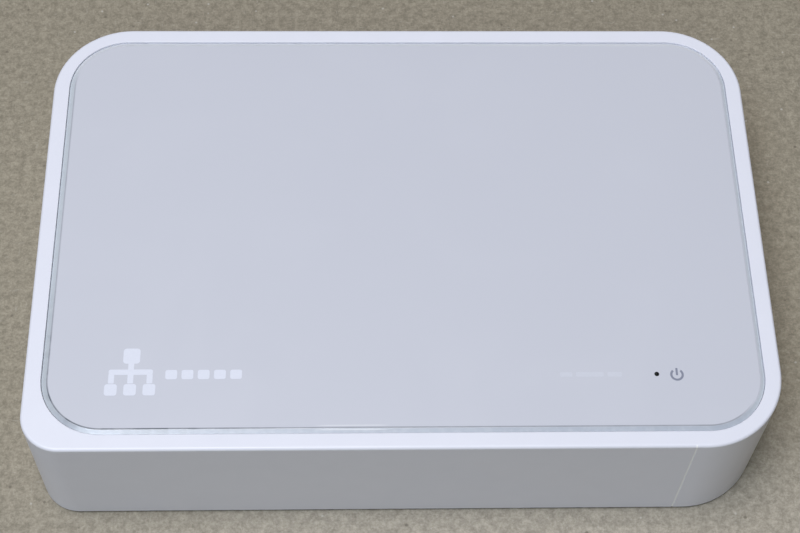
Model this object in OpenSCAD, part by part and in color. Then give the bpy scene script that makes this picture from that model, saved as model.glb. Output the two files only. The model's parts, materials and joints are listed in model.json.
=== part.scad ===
// Desktop network switch: a low plastic case with five wired network ports and a power jack
// in its back wall, an inlaid cover plate on its top, and the whole circuit board inside.
// The case stands on the plane z = 0, centred on the Z axis. Its front faces -Y, its ports +Y.

/* [Case] */
// Width of the case, side to side
case_w = 103.5; // [103:0.5:112]
// Depth of the case, front to back
case_d = 70; // [69:0.5:80]
// Height of the case from the table to its rim
case_h = 22; // [22:0.5:28]
// Height of the case's underside above the table
foot_gap = 0.4; // [0.3:0.1:0.7]
// Thickness of the cover's walls
wall_t = 2; // [1.8:0.1:2.2]
// Plan radius of the three wide corners
corner_r = 11.4; // [9:0.1:11.6]
// Plan radius of the tight front left corner
tight_r = 5.5; // [5:0.1:11]
// Rounding of the rim's outer edge
edge_r = 0.45; // [0.3:0.05:1]
// Thickness of the cover's roof under the cover plate
roof_t = 1.3; // [1:0.1:1.5]
// Gap between the base and the cover
shell_gap = 0.15; // [0.1:0.05:0.2]

/* [Cover plate] */
// Width of the white rim round the plate
rim_w = 2.35; // [2:0.05:3]
// Plan radius of the recess that holds the plate
recess_r = 8.5; // [6:0.1:9]
// Thickness of the plate
plate_t = 1.15; // [1:0.05:1.2]
// Width of the plate's bevelled edge
bevel_w = 0.7; // [0.4:0.1:1]
// Height of the plate's bevelled edge
bevel_h = 0.25; // [0.15:0.05:0.6]
// Gap between the plate's edge and the rim
plate_gap = 0.05; // [0.04:0.01:0.2]
// Thickness of the adhesive film under the plate
film_t = 0.1; // [0.08:0.01:0.12]
// Radius of the pinhole over the power light
pinhole_r = 0.3; // [0.2:0.05:0.5]
// Place of the power light, right of the middle
light_x = 34.5; // [28:0.5:36]
// Place of the power light, in front of the middle
light_y = 24.1; // [22:0.1:24.5]

/* [Network ports] */
// Distance between the middles of neighbouring ports
port_pitch = 13.6; // [13.6:0.02:13.7]
// Width of one port's housing
port_w = 13.2; // [13:0.1:13.2]
// Height of one port's housing
port_h = 12; // [11.8:0.1:12]
// Depth of one port's housing
port_d = 16; // [15.8:0.1:16.4]
// Width of the space for a network plug
plug_w = 11.9; // [11.7:0.05:12]
// Height of the space for a network plug
plug_h = 6.9; // [6.7:0.05:7]
// Depth of the space for a network plug
plug_d = 12; // [11.5:0.1:12]
// Distance between neighbouring contact wires
wire_pitch = 1.02; // [1:0.01:1.04]
// Radius of a contact wire
wire_r = 0.23; // [0.18:0.01:0.24]

/* [Power jack] */
// Width of the jack's housing
jack_w = 9; // [8.6:0.1:9]
// Height of the jack's housing
jack_h = 11; // [10.6:0.1:11.4]
// Depth of the jack's housing
jack_d = 14; // [13.6:0.1:14.4]
// Radius of the jack's mouth
mouth_r = 3.1; // [2.9:0.05:3.2]
// Radius of the jack's centre pin
pin_r = 1; // [0.95:0.05:1.2]
// Height of the mouth's middle above the board
mouth_h = 6.5; // [6.2:0.1:6.8]

/* [Base and board] */
// Thickness of the base's floor
floor_t = 1.8; // [1.6:0.1:2]
// Height of the board above the floor
board_lift = 3; // [2.8:0.1:3]
// Thickness of the board
board_t = 1.6; // [1.2:0.1:1.6]
// Distance between the two wall hanging slots
hang_pitch = 64; // [58:1:70]
// Radius of a rubber foot
foot_r = 4.5; // [3.5:0.5:5]
// Number of vent slots in each row
vent_count = 15; // [5:2:17]

/* [Hidden] */
$fn = 96;
ports = 5;
wires = 8;
floor_z = foot_gap + floor_t;
board_z = floor_z + board_lift;
top_z = board_z + board_t;          // the board's upper face, on which every component stands
plate_z = case_h - plate_t - 0.05;  // the plate lies just under the rim
recess_z = plate_z - film_t;
roof_z = recess_z - roof_t;
inner_w = case_w - 2 * wall_t;
inner_d = case_d - 2 * wall_t;
recess_w = case_w - 2 * rim_w;
recess_d = case_d - 2 * rim_w;
plate_w = recess_w - 2 * plate_gap;
plate_d = recess_d - 2 * plate_gap;
light_at = [light_x, -light_y];

back_y = case_d / 2;
face_y = back_y - 0.4;              // the ports' faces stand a little inside the back wall
port_gap = port_pitch - port_w;
jack_gap = 2.2;
row_w = ports * port_pitch - port_gap;
back_w = row_w + jack_gap + jack_w;
jack_x = (back_w - jack_w) / 2;
row_x0 = -back_w / 2;
row_x1 = row_x0 + row_w;
window_gap = 0.2;
sill_t = 1.6;

// Port 1 is next to the power jack
function port_x(n) = row_x1 - port_w / 2 - (n - 1) * port_pitch;
function wire_x(k) = (k - (wires - 1) / 2) * wire_pitch;

board_w = inner_w - 6.5;
board_front = -(inner_d / 2 - 5.5);
board_back = back_y - 4;
screw_at = [[-1, 1] * (board_w / 2 - 4), -15];
post_at = [[-1, 1] * (board_w / 2 - 3.5), 14];
foot_at = [case_w / 2 - 10.2, case_d / 2 - 10];

// Contact wires: the spring arm turns about arm_y, arm_z and slopes down into the plug space
plug_z = 2.8;                       // bottom of the plug space above the board
arm_y = face_y - 2;
arm_z = plug_z + plug_h + 0.25;
arm_len = 9;
arm_slope = 14;
lead_z = arm_z + 0.7;
lead_rows = [15, 13.2];             // the two staggered rows of tails, behind the ports' faces

CORNER_X = [-1, 1, 1, -1];
CORNER_Y = [-1, -1, 1, 1];
case_radii = [tight_r, corner_r, corner_r, corner_r];

// ---- outlines and blocks ----

// One corner's point where the arc of radius r ends, on the side edge or on the front or back edge
function tangent(w, d, r, i, on_side) =
    [CORNER_X[i] * (w / 2 - (on_side ? 0 : r)), CORNER_Y[i] * (d / 2 - (on_side ? r : 0))];
function arc_middle(w, d, r, i) = [CORNER_X[i] * (w / 2 - r), CORNER_Y[i] * (d / 2 - r)];
function less(radii, inset) = [for (r = radii) r - inset];
function even(r) = [r, r, r, r];

// Rounded rectangle with a radius of its own at each corner, counted from the front left
module plan(w, d, radii) {
    polygon([for (i = [0:3]) for (k = [0, 1]) tangent(w, d, radii[i], i, (i + k) % 2 == 0)]);
    for (i = [0:3]) translate(arc_middle(w, d, radii[i], i)) circle(radii[i]);
}

// A side of the plan from corner i to the next, with a profile carried along it
module along_side(w, d, radii, i) {
    j = (i + 1) % 4;
    on_side = i % 2 == 1;
    a = tangent(w, d, radii[i], i, on_side);
    b = tangent(w, d, radii[j], j, on_side);
    translate(a) rotate(atan2(b.y - a.y, b.x - a.x)) rotate([90, 0, 90])
        linear_extrude(norm(b - a)) children();
}

// Block on a plan, with its upper edge rounded by radius e
module rounded_block(w, d, radii, h, e) {
    linear_extrude(h - e) plan(w, d, radii);
    linear_extrude(h) plan(w - 2 * e, d - 2 * e, less(radii, e));
    translate([0, 0, h - e]) for (i = [0:3]) {
        translate(arc_middle(w, d, radii[i], i))
            rotate_extrude() translate([radii[i] - e, 0]) circle(e, $fn = 32);
        along_side(w, d, radii, i) translate([e, 0]) circle(e, $fn = 32);
    }
}

// Block on a plan, with its upper edge bevelled by run across and drop down
module bevelled_block(w, d, radii, h, run, drop) {
    linear_extrude(h - drop) plan(w, d, radii);
    linear_extrude(h) plan(w - 2 * run, d - 2 * run, less(radii, run));
    translate([0, 0, h - drop]) for (i = [0:3]) {
        translate(arc_middle(w, d, radii[i], i)) cylinder(h = drop, r1 = radii[i], r2 = radii[i] - run);
        along_side(w, d, radii, i) polygon([[0, 0], [run, 0], [run, drop]]);
    }
}

// Slot along Y with round ends
module round_slot(width, length) {
    square([width, length - width], center = true);
    for (s = [-1, 1]) translate([0, s * (length - width) / 2]) circle(width / 2);
}

// Block between its lowest and its highest corner
module box(low, high) {
    translate(low) cube(high - low);
}

// Block centred on x and y, standing at height z
module block(size, z = 0) {
    translate([-size.x / 2, -size.y / 2, z]) cube(size);
}

// Stands a component on the board
module on_board(x, y, turn = 0) {
    translate([x, y, top_z]) rotate(turn) children();
}

// Places a feature at each x of at[0], all at the same y, at[1]
module both_ways(at) {
    for (x = at[0]) translate([x, at[1], 0]) children();
}

// ---- case ----

// Latch on the base: an upright tongue whose nose snaps into a pocket in the cover's wall.
// Its outer side faces +X, and x = 0 is the wall's inner face.
hook_z = floor_z + 4.2;
hook_w = 6;
module hook() {
    rotate([90, 0, 0]) linear_extrude(hook_w, center = true) polygon([
        [-2.1, floor_z - 0.6], [-0.9, floor_z - 0.6], [-0.9, hook_z - 0.7], [0.45, hook_z - 0.5],
        [0.45, hook_z - 0.2], [-0.6, hook_z + 1], [-2.1, hook_z + 1],
    ]);
}
module hook_pocket() {
    box([-1, -hook_w / 2 - 0.3, hook_z - 1], [0.8, hook_w / 2 + 0.3, hook_z + 1.2]);
}
module at_hooks() {
    for (x = [-1, 1]) {
        for (y = [-12, 12]) translate([x * inner_w / 2, y, 0]) rotate(x > 0 ? 0 : 180) children();
        translate([x * 24, -inner_d / 2, 0]) rotate(-90) children();
    }
}

// Openings in the back wall for the row of ports, the power jack and the sill below both
module back_windows() {
    y0 = back_y - wall_t - 1;
    y1 = back_y + 1;
    box([row_x0 - window_gap, y0, foot_gap - 1], [row_x1 + window_gap, y1, top_z + port_h + window_gap]);
    box([jack_x - jack_w / 2 - window_gap, y0, foot_gap - 1],
        [jack_x + jack_w / 2 + window_gap, y1, top_z + jack_h + window_gap]);
    box([row_x0 - window_gap, y0, foot_gap - 1], [back_w / 2 + window_gap, y1, top_z]);
}

// Fine upright groove that the mould's side core leaves in the front wall
module mould_line() {
    translate([case_w / 2 - 12.8, -case_d / 2, foot_gap - 1])
        rotate(45) translate([-0.07, -0.07, 0]) cube([0.14, 0.14, case_h - foot_gap + 1 - edge_r]);
}

pipe_r = 1.1;
sleeve_h = 6;
module top_cover() {
    color("#eceef2") {
        difference() {
            translate([0, 0, foot_gap])
                rounded_block(case_w, case_d, case_radii, case_h - foot_gap, edge_r);
            translate([0, 0, foot_gap - 1])
                linear_extrude(roof_z - foot_gap + 1) plan(inner_w, inner_d, less(case_radii, wall_t));
            translate([0, 0, recess_z])
                linear_extrude(case_h) plan(recess_w, recess_d, even(recess_r));
            translate([light_at.x, light_at.y, 0]) cylinder(h = case_h, r = pipe_r + 0.15);
            back_windows();
            at_hooks() hook_pocket();
            mould_line();
        }
        // sleeve that guides the light pipe
        translate([light_at.x, light_at.y, roof_z - sleeve_h]) difference() {
            cylinder(h = sleeve_h + 0.3, r = pipe_r + 1);
            translate([0, 0, -1]) cylinder(h = sleeve_h + 3, r = pipe_r + 0.15);
        }
        // posts that hold the board down
        both_ways([[-1, 1] * (board_w / 2 - 2), -2])
            translate([0, 0, top_z + 0.1]) cylinder(h = roof_z - top_z, r = 1.5);
    }
}

module cover_plate() {
    color("#c7cbd7") difference() {
        translate([0, 0, plate_z])
            bevelled_block(plate_w, plate_d, even(recess_r - plate_gap), plate_t, bevel_w, bevel_h);
        translate([light_at.x, light_at.y, 0]) cylinder(h = case_h + 1, r = pinhole_r);
    }
}

film_inset = 0.9;
module adhesive_film() {
    color("#f4f4ef") difference() {
        translate([0, 0, recess_z]) linear_extrude(film_t)
            plan(plate_w - 2 * film_inset, plate_d - 2 * film_inset, even(recess_r - plate_gap - film_inset));
        translate([light_at.x, light_at.y, 0]) cylinder(h = case_h, r = pipe_r + 0.4);
    }
}

foot_sink = 1;
label_size = [46, 24];
module at_feet() {
    for (x = [-1, 1]) for (y = [-1, 1]) translate([x * foot_at.x, y * foot_at.y, 0]) children();
}

// Wall hanging slot: a round entry for a screw's head and a narrow run above it for its neck
module hanging_slot() {
    linear_extrude(floor_z + 1) {
        translate([0, -3]) circle(3.7);
        translate([-1.9, -3]) square([3.8, 7]);
        translate([0, 4]) circle(1.9);
    }
}

vent_pitch = 3.6;
vent_size = [1.6, 9];
module vent_row() {
    for (k = [0:vent_count - 1])
        translate([(k - (vent_count - 1) / 2) * vent_pitch, 0, 0]) linear_extrude(floor_z + 1)
            round_slot(vent_size.x, vent_size.y);
}

module base_tray() {
    sill_x0 = row_x0;
    sill_x1 = back_w / 2;
    sill_y = back_y - 0.2;
    color("#e6e8ec") difference() {
        union() {
            translate([0, 0, foot_gap]) linear_extrude(floor_t)
                plan(inner_w - 2 * shell_gap, inner_d - 2 * shell_gap, less(case_radii, wall_t + shell_gap));
            // sill that closes the cover's back windows under the ports
            box([sill_x0, back_y - wall_t - 2, foot_gap], [sill_x1, sill_y, floor_z]);
            box([sill_x0, sill_y - sill_t, foot_gap], [sill_x1, sill_y, top_z - 0.2]);
            both_ways(screw_at) cylinder(h = board_z, r = 2.6);
            both_ways(post_at) cylinder(h = board_z, r = 2.2);
            both_ways(post_at) cylinder(h = top_z + 0.6, r = 1.2);
            at_hooks() hook();
            // ribs that stiffen the floor
            for (x = [-14, 0, 14]) box([x - 0.5, -12, floor_z - 0.2], [x + 0.5, 12, floor_z + 1.2]);
        }
        translate([0, 0, -1]) linear_extrude(foot_gap + 1) square([case_w, case_d], center = true);
        at_feet() cylinder(h = foot_gap + foot_sink, r = foot_r + 0.1);
        both_ways(screw_at) translate([0, 0, floor_z - 0.6]) cylinder(h = board_z, r = 1.1);
        for (x = [-1, 1]) translate([x * hang_pitch / 2, 0, 0]) hanging_slot();
        for (y = [-21.5, 19.5]) translate([0, y, 0]) vent_row();
        box([-label_size.x / 2 - 0.3, -label_size.y / 2 - 0.3, 0],
            [label_size.x / 2 + 0.3, label_size.y / 2 + 0.3, foot_gap + 0.15]);
    }
}

module rating_label() {
    color("#d9dadc") translate([0, 0, foot_gap + 0.04]) linear_extrude(0.1)
        plan(label_size.x, label_size.y, even(1));
}

module rubber_feet() {
    color("#3a3b3d") at_feet() cylinder(h = foot_gap + foot_sink - 0.04, r = foot_r);
}

// ---- board and its fastening ----

// Slots in the board for the power jack's three tails
module tail_slots() {
    for (t = jack_tail_at) translate([jack_x + t.x, face_y - t.y, board_z - 1]) block([2.2, 1, board_t + 2]);
}

module circuit_board() {
    color("#1f6b45") difference() {
        translate([0, (board_front + board_back) / 2, board_z])
            linear_extrude(board_t) plan(board_w, board_back - board_front, even(3));
        both_ways(screw_at) cylinder(h = case_h, r = 1.5);
        both_ways(post_at) cylinder(h = case_h, r = 1.3);
        for (n = [1:ports]) for (k = [0:wires - 1])
            translate([port_x(n) + wire_x(k), face_y - lead_rows[k % 2], 0])
                cylinder(h = case_h, r = wire_r + 0.12, $fn = 24);
        tail_slots();
    }
}

module board_screws() {
    color("#c9ccd0") both_ways(screw_at) difference() {
        union() {
            translate([0, 0, floor_z]) cylinder(h = top_z - floor_z + 0.2, r = 1.05);
            translate([0, 0, top_z + 0.02]) cylinder(h = 1.2, r = 2.3);
            translate([0, 0, top_z + 1.22]) cylinder(h = 0.5, r1 = 2.3, r2 = 1.7);
        }
        for (a = [0, 90]) translate([0, 0, top_z + 0.9]) rotate(a) block([2.6, 0.55, 2]);
    }
}

// ---- network ports ----

channel_w = wires * wire_pitch + 0.64;
lip_t = 1.2;
light_w = 2.9;
light_h = 1.5;
stem_w = 1.25;
port_light_x = port_w / 2 - 0.6 - light_w / 2;

module at_port(n) {
    translate([port_x(n), face_y, top_z]) children();
}

// All port pieces are drawn round the middle of the port's face, at the board's upper side
module port_housing(n) {
    channel_z = plug_z + plug_h - 0.1;
    color("#1b1c1e") at_port(n) difference() {
        box([-port_w / 2, -port_d, 0], [port_w / 2, 0, port_h]);
        box([-plug_w / 2, -plug_d, plug_z], [plug_w / 2, 1, plug_z + plug_h]);
        // track for the plug's latch, in two steps
        box([-3.2, -plug_d, plug_z - 1], [3.2, 1, plug_z + 0.1]);
        box([-2, -plug_d, plug_z - 1.8], [2, 1, plug_z]);
        // shallow step round the mouth
        box([-plug_w / 2 - 0.25, -0.4, plug_z - 0.25], [plug_w / 2 + 0.25, 1, plug_z + plug_h + 0.25]);
        // channel over the plug space for the wires, and the chamber where they turn down
        box([-channel_w / 2, -plug_d, channel_z], [channel_w / 2, -lip_t, lead_z + 0.45]);
        box([-channel_w / 2, -port_d + 0.5, lead_z - 0.5], [channel_w / 2, -plug_d + 0.1, lead_z + 0.45]);
        box([-channel_w / 2, -port_d + 0.5, -1], [channel_w / 2, -plug_d - 0.7, lead_z + 0.45]);
        // seat of the light guide
        translate([port_light_x, 0, port_h - 1.05]) {
            box([-light_w / 2 - 0.05, -lip_t, -light_h / 2 - 0.05],
                [light_w / 2 + 0.05, 1, light_h / 2 + 0.05]);
            box([light_w / 2 - stem_w - 0.05, -port_d - 1, -0.6], [light_w / 2 + 0.05, 0, 0.6]);
        }
    }
}

// The sprung half of the eight wires, which the plug lifts
module port_springs(n) {
    color("#d8b45a") at_port(n) for (k = [0:wires - 1])
        translate([wire_x(k), arm_y - face_y, arm_z]) rotate([90 + arm_slope, 0, 0]) {
            cylinder(h = arm_len, r = wire_r, $fn = 24);
            for (end = [0, arm_len]) translate([0, 0, end]) sphere(wire_r, $fn = 24);
        }
}

// The fixed half: along the roof of the channel, round a bend and down through the board
module port_leads(n) {
    bend = wire_r * 2;
    color("#d8b45a") at_port(n) for (k = [0:wires - 1]) {
        row = lead_rows[k % 2];
        translate([wire_x(k), 0, 0]) {
            translate([0, -lip_t - 0.3, lead_z]) rotate([90, 0, 0])
                cylinder(h = row - bend - lip_t - 0.3, r = wire_r, $fn = 24);
            translate([0, -row + bend, lead_z - bend]) rotate([90, 0, -90])
                rotate_extrude(angle = 90) translate([bend, 0]) circle(wire_r, $fn = 24);
            translate([0, -row, -board_t - 0.8])
                cylinder(h = lead_z - bend + board_t + 0.8, r = wire_r, $fn = 24);
        }
    }
}

module port_light(n) {
    color("#cfe9c8", 0.8) at_port(n) translate([port_light_x, 0, port_h - 1.05]) {
        box([-light_w / 2, -lip_t + 0.05, -light_h / 2], [light_w / 2, -0.1, light_h / 2]);
        box([light_w / 2 - stem_w, -port_d + 1, -0.55], [light_w / 2, -lip_t + 0.1, 0.55]);
    }
}

// ---- power jack ----

bore_d = 9.5;
leaf_t = 0.3;
leaf_w = 2.4;
leaf_y = 11.2;                      // depth of the leaf's hinge behind the face
jack_tail_at = [[0, 12.4], [0, 6], [-3, 9]];

module at_jack() {
    translate([jack_x, face_y, top_z]) children();
}

// Cylinder from depth a to depth b behind the face, on the mouth's axis
module jack_round(a, b, r1, r2) {
    translate([0, -b, mouth_h]) rotate([-90, 0, 0]) cylinder(h = b - a, r1 = r1, r2 = r2);
}

module jack_housing() {
    color("#1b1c1e") at_jack() difference() {
        box([-jack_w / 2, -jack_d, 0], [jack_w / 2, 0, jack_h]);
        // stepped back, lower than the front block
        box([-jack_w, -jack_d - 1, mouth_h + 3.8], [jack_w, -3.5, jack_h + 1]);
        for (s = [-1, 1]) translate([s * jack_w / 2, 0, 0])
            box([-0.5, -jack_d - 1, -1], [0.5, -3.5, jack_h + 1]);
        jack_round(-1, bore_d, mouth_r, mouth_r);
        jack_round(-0.01, 0.5, mouth_r, mouth_r + 0.5);
        jack_round(bore_d - 0.1, jack_d + 1, 0.83, 0.83);
        // slot that lets the leaf give way
        box([-leaf_w / 2 - 0.3, -jack_d - 1, 0.8], [leaf_w / 2 + 0.3, -2.2, mouth_h - 2]);
    }
}

module jack_pin() {
    color("#d5d6d8") at_jack() {
        jack_round(2.3, bore_d, pin_r, pin_r);
        translate([0, -2.3, mouth_h]) sphere(pin_r);
        jack_round(bore_d, jack_d + 0.1, 0.8, 0.8);
        jack_round(jack_d + 0.1, jack_d + 0.9, 1.5, 1.5);
    }
}

// Leaf that presses on the plug's barrel from below and gives way as it goes in
module jack_spring() {
    crest = mouth_h - mouth_r + 0.55;
    root = 2.3;
    line = [[-leaf_y, root], [-4.6, crest], [-4.2, crest], [-3, crest - 0.9]];
    color("#c9ccd0") at_jack() rotate([90, 0, 90]) linear_extrude(leaf_w, center = true) {
        polygon(concat(line, [for (i = [3:-1:0]) line[i] - [0, leaf_t]]));
    }
}

module jack_tails() {
    color("#c9ccd0") at_jack() for (t = jack_tail_at)
        translate([t.x, -t.y, 0]) block([1.6, 0.4, board_t + 1], -board_t - 1.05);
}

// ---- components on the board ----

// Bent leg of a flat package: out from the body's side, down, and along the board
module gull_leg(reach, height, width) {
    t = 0.15;
    rotate([90, 0, 0]) linear_extrude(width, center = true) polygon([
        [-0.02, height], [reach * 0.4, height], [reach * 0.4, t], [reach, t], [reach, 0],
        [reach * 0.4 - t, 0], [reach * 0.4 - t, height - t], [-0.02, height - t],
    ]);
}

// A row of legs on the +X side of a body
module leg_row(count, pitch, reach, height, width) {
    for (k = [0:count - 1]) translate([0, (k - (count - 1) / 2) * pitch, 0]) gull_leg(reach, height, width);
}

chip_w = 14;
chip_at = [-4, -7];
module switch_chip() {
    color("#26272a") on_board(chip_at.x, chip_at.y) difference() {
        block([chip_w, chip_w, 1.4], 0.1);
        translate([-chip_w / 2 + 1.4, chip_w / 2 - 1.4, 1.4]) cylinder(h = 1, r = 0.5);
    }
}
module switch_chip_legs() {
    color("#c9ccd0") on_board(chip_at.x, chip_at.y)
        for (a = [0:90:270]) rotate(a) translate([chip_w / 2 + 0.02, 0, 0.02]) leg_row(16, 0.8, 1, 0.8, 0.32);
}

crystal_at = [-24, -9];
module clock_crystal() {
    color("#c4c7cb") on_board(crystal_at.x, crystal_at.y, 90) {
        linear_extrude(3.4) round_slot(4.4, 11.2);
        linear_extrude(0.5) round_slot(5, 12);
    }
}

transformer_size = [10.6, 6.6, 4.2];
transformer_y = back_y - port_d - 6.6;
module transformer(n) {
    color("#2a2b2e") on_board(port_x(n), transformer_y) difference() {
        block(transformer_size, 0.2);
        translate([-transformer_size.x / 2 + 1, transformer_size.y / 2 - 1, 4.1]) cylinder(h = 1, r = 0.5);
    }
}
module transformer_legs() {
    color("#c9ccd0") for (n = [1:ports]) on_board(port_x(n), transformer_y)
        for (a = [90, 270]) rotate(a) translate([transformer_size.y / 2 + 0.02, 0, 0.02])
            leg_row(8, 1.27, 1.1, 2, 0.5);
}

can_at = [[34.2, 6.2], [41.6, 5.2]];
can_r = 3.15;
module capacitor_cans() {
    color("#cfd2d5") for (p = can_at) on_board(p.x, p.y) translate([0, 0, 1.1]) {
        cylinder(h = 0.8, r = can_r);
        cylinder(h = 1.6, r = can_r - 0.25);
        translate([0, 0, 1.4]) cylinder(h = 4.8, r = can_r);
        translate([0, 0, 6.2]) cylinder(h = 0.3, r1 = can_r, r2 = can_r - 0.3);
    }
}
module capacitor_bases() {
    color("#222326") for (p = can_at) on_board(p.x, p.y) block([6.6, 6.6, 1], 0.05);
}

coil_at = [29.5, -6];
module power_coil() {
    color("#3b3c40") on_board(coil_at.x, coil_at.y) {
        translate([0, 0, 0.3]) cylinder(h = 0.8, r = 3.4);
        translate([0, 0, 1.1]) cylinder(h = 2, r = 2.6);
        translate([0, 0, 3.1]) cylinder(h = 0.8, r = 3.4);
    }
}
module coil_clips() {
    color("#c9ccd0") on_board(coil_at.x, coil_at.y) for (s = [-1, 1])
        translate([s * 3, 0, 0]) block([1.6, 2.6, 0.25], 0.02);
}

regulator_at = [38.5, -6];
module regulator() {
    color("#26272a") on_board(regulator_at.x, regulator_at.y) block([3.5, 6.5, 1.6], 0.05);
}
module regulator_legs() {
    color("#c9ccd0") on_board(regulator_at.x, regulator_at.y) {
        translate([1.77, 0, 0.02]) leg_row(3, 2.3, 1.5, 0.9, 0.7);
        rotate(180) translate([1.77, 0, 0.02]) leg_row(1, 1, 1.5, 0.9, 3);
    }
}

module power_light() {
    color("#e9eec0") on_board(light_at.x, light_at.y) {
        block([2, 1.25, 0.4], 0.02);
        block([1.2, 1.2, 0.8], 0.02);
    }
}

module light_pipe() {
    color("#e8f0f2", 0.7) translate([light_at.x, light_at.y, 0]) {
        translate([0, 0, top_z + 1.2]) cylinder(h = recess_z - top_z - 1.3, r = pipe_r);
        translate([0, 0, top_z + 1.2]) cylinder(h = 1, r = pipe_r + 0.8);
    }
}

// Chip resistors stand in a row before each transformer and beside the switch chip
module chip_resistors() {
    color("#2d2d30") {
        for (n = [1:ports]) for (k = [-1.5:1:1.5])
            on_board(port_x(n) + k * 2.3, transformer_y - 6.4, 90) block([1.6, 0.8, 0.45], 0.02);
        for (k = [0:5]) on_board(chip_at.x - 11.5, chip_at.y - 4.5 + k * 1.6) block([1.6, 0.8, 0.45], 0.02);
    }
}

// Chip capacitors stand in rows before the switch chip and round the power parts
module chip_capacitors() {
    color("#b08d63") {
        for (k = [0:7]) on_board(chip_at.x - 7 + k * 2, chip_at.y - 10.5, 90) block([1.6, 0.8, 0.8], 0.02);
        for (k = [0:3]) on_board(coil_at.x - 6.5, coil_at.y - 4 + k * 2.2) block([2, 1.25, 1.1], 0.02);
        for (k = [0:2])
            on_board(regulator_at.x - 2 + k * 2.6, regulator_at.y + 5.4, 90) block([2, 1.25, 1.1], 0.02);
    }
}

top_cover();
cover_plate();
adhesive_film();
base_tray();
rating_label();
rubber_feet();
circuit_board();
board_screws();
for (n = [1:ports]) {
    port_housing(n);
    port_springs(n);
    port_leads(n);
    port_light(n);
    transformer(n);
}
jack_housing();
jack_pin();
jack_spring();
jack_tails();
switch_chip();
switch_chip_legs();
clock_crystal();
transformer_legs();
capacitor_cans();
capacitor_bases();
power_coil();
coil_clips();
regulator();
regulator_legs();
power_light();
light_pipe();
chip_resistors();
chip_capacitors();
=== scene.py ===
# %% [markdown]
# # A desktop network switch
#
# The object is a low white plastic case, 103.5 x 70 x 22 mm, with a grey-lavender plate inlaid in its top, five
# network ports and a power jack in its back wall, and a populated circuit board inside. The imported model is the
# fixed frame: it says where every part is. This lesson dresses it. Parts whose edges catch the light are made
# again as smooth surfaces, and every part gets a finish of its own.

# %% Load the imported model
import json
import math

import bmesh
import bpy
import numpy as np
from mathutils import Matrix, Vector


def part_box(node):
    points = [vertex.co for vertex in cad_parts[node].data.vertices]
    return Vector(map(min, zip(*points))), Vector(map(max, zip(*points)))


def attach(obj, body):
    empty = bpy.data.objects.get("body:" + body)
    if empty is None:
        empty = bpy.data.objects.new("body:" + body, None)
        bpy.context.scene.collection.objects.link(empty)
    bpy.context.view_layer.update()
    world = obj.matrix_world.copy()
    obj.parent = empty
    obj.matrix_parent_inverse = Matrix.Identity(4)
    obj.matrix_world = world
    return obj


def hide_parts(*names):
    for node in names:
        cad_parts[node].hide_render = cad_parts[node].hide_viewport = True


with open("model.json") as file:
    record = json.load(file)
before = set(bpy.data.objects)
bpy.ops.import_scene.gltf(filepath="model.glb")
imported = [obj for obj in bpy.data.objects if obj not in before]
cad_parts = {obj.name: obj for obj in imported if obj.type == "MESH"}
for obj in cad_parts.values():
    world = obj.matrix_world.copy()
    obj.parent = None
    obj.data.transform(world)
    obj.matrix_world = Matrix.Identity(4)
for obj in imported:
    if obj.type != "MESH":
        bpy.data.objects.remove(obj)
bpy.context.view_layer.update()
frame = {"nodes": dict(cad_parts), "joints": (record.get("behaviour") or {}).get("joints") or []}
nodes = frame["nodes"]
MM = 0.001
PORTS = 5

# %% [markdown]
# ## Surfaces from arrays
#
# Each new piece is one or more grids of points, worked out as whole arrays in millimetres. A grid's rows are
# joined to the next row by four-sided faces, and a row that closes on itself is a ring. One helper turns grids
# into a mesh. It looks at the volume that the faces enclose, and turns them all round if it comes out negative,
# so that every face points outwards.

# %% Grids to meshes
def ring_faces(rows, count):
    """Quads between neighbouring rings: points k and k + 1 of ring i, then points k + 1 and k of ring i + 1."""
    i, k = np.meshgrid(np.arange(rows - 1), np.arange(count), indexing="ij")
    n = (k + 1) % count
    return np.stack([i * count + k, i * count + n, (i + 1) * count + n, (i + 1) * count + k], -1).reshape(-1, 4)


def closed_stack(rings):
    """A closed solid from a stack of rings, shape (rows, count, 3): quads between rings, and a face at each end."""
    rows, count = rings.shape[:2]
    first = np.arange(count)[::-1]
    last = (rows - 1) * count + np.arange(count)
    return rings.reshape(-1, 3), ring_faces(rows, count).tolist() + [first.tolist(), last.tolist()]


def enclosed_volume(points, faces):
    """Sum over the faces, cut into fans, of the tetrahedra from the origin: a third of corner . (edge x edge) / 2."""
    fans = np.concatenate([[(f[0], f[j], f[j + 1]) for j in range(1, len(f) - 1)] for f in faces])
    a, b, c = (points[fans[:, j]] for j in range(3))
    return float(np.einsum("ij,ij->i", a, np.cross(b, c)).sum() / 6)


def mesh_piece(name, solids, material, body="case", sharp=40):
    """Makes one piece from closed solids in mm. Edges under the sharp angle, in degrees, shade smoothly."""
    points, faces, start = [], [], 0
    for solid_points, solid_faces in solids:
        if enclosed_volume(solid_points, solid_faces) < 0:
            solid_faces = [f[::-1] for f in solid_faces]
        points.append(solid_points)
        faces += [[start + v for v in f] for f in solid_faces]
        start += len(solid_points)
    mesh = bpy.data.meshes.new(name)
    mesh.from_pydata((np.concatenate(points) * MM).tolist(), [], faces)
    mesh.validate()
    mesh.shade_smooth()
    mesh.set_sharp_from_angle(angle=math.radians(sharp))
    piece = bpy.data.objects.new(name, mesh)
    bpy.context.scene.collection.objects.link(piece)
    mesh.materials.append(material)
    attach(piece, body)
    return piece


def even_light(piece):
    """Lets large faces rule the shading at a shared corner, so that flat areas next to a rounding stay flat."""
    weighted = piece.modifiers.new("even light", "WEIGHTED_NORMAL")
    weighted.keep_sharp = True
    weighted.weight = 90
    return piece


# %% [markdown]
# ## Finishes
#
# Moulded plastic is never one flat colour. Its mould leaves a fine grain, handling leaves faint smudges that
# change the gloss, and dust settles on it. Those effects are shared, so each is a shader group made once. They
# give out only colours and heights that change over the surface. The shader itself stays in each material.

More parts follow.
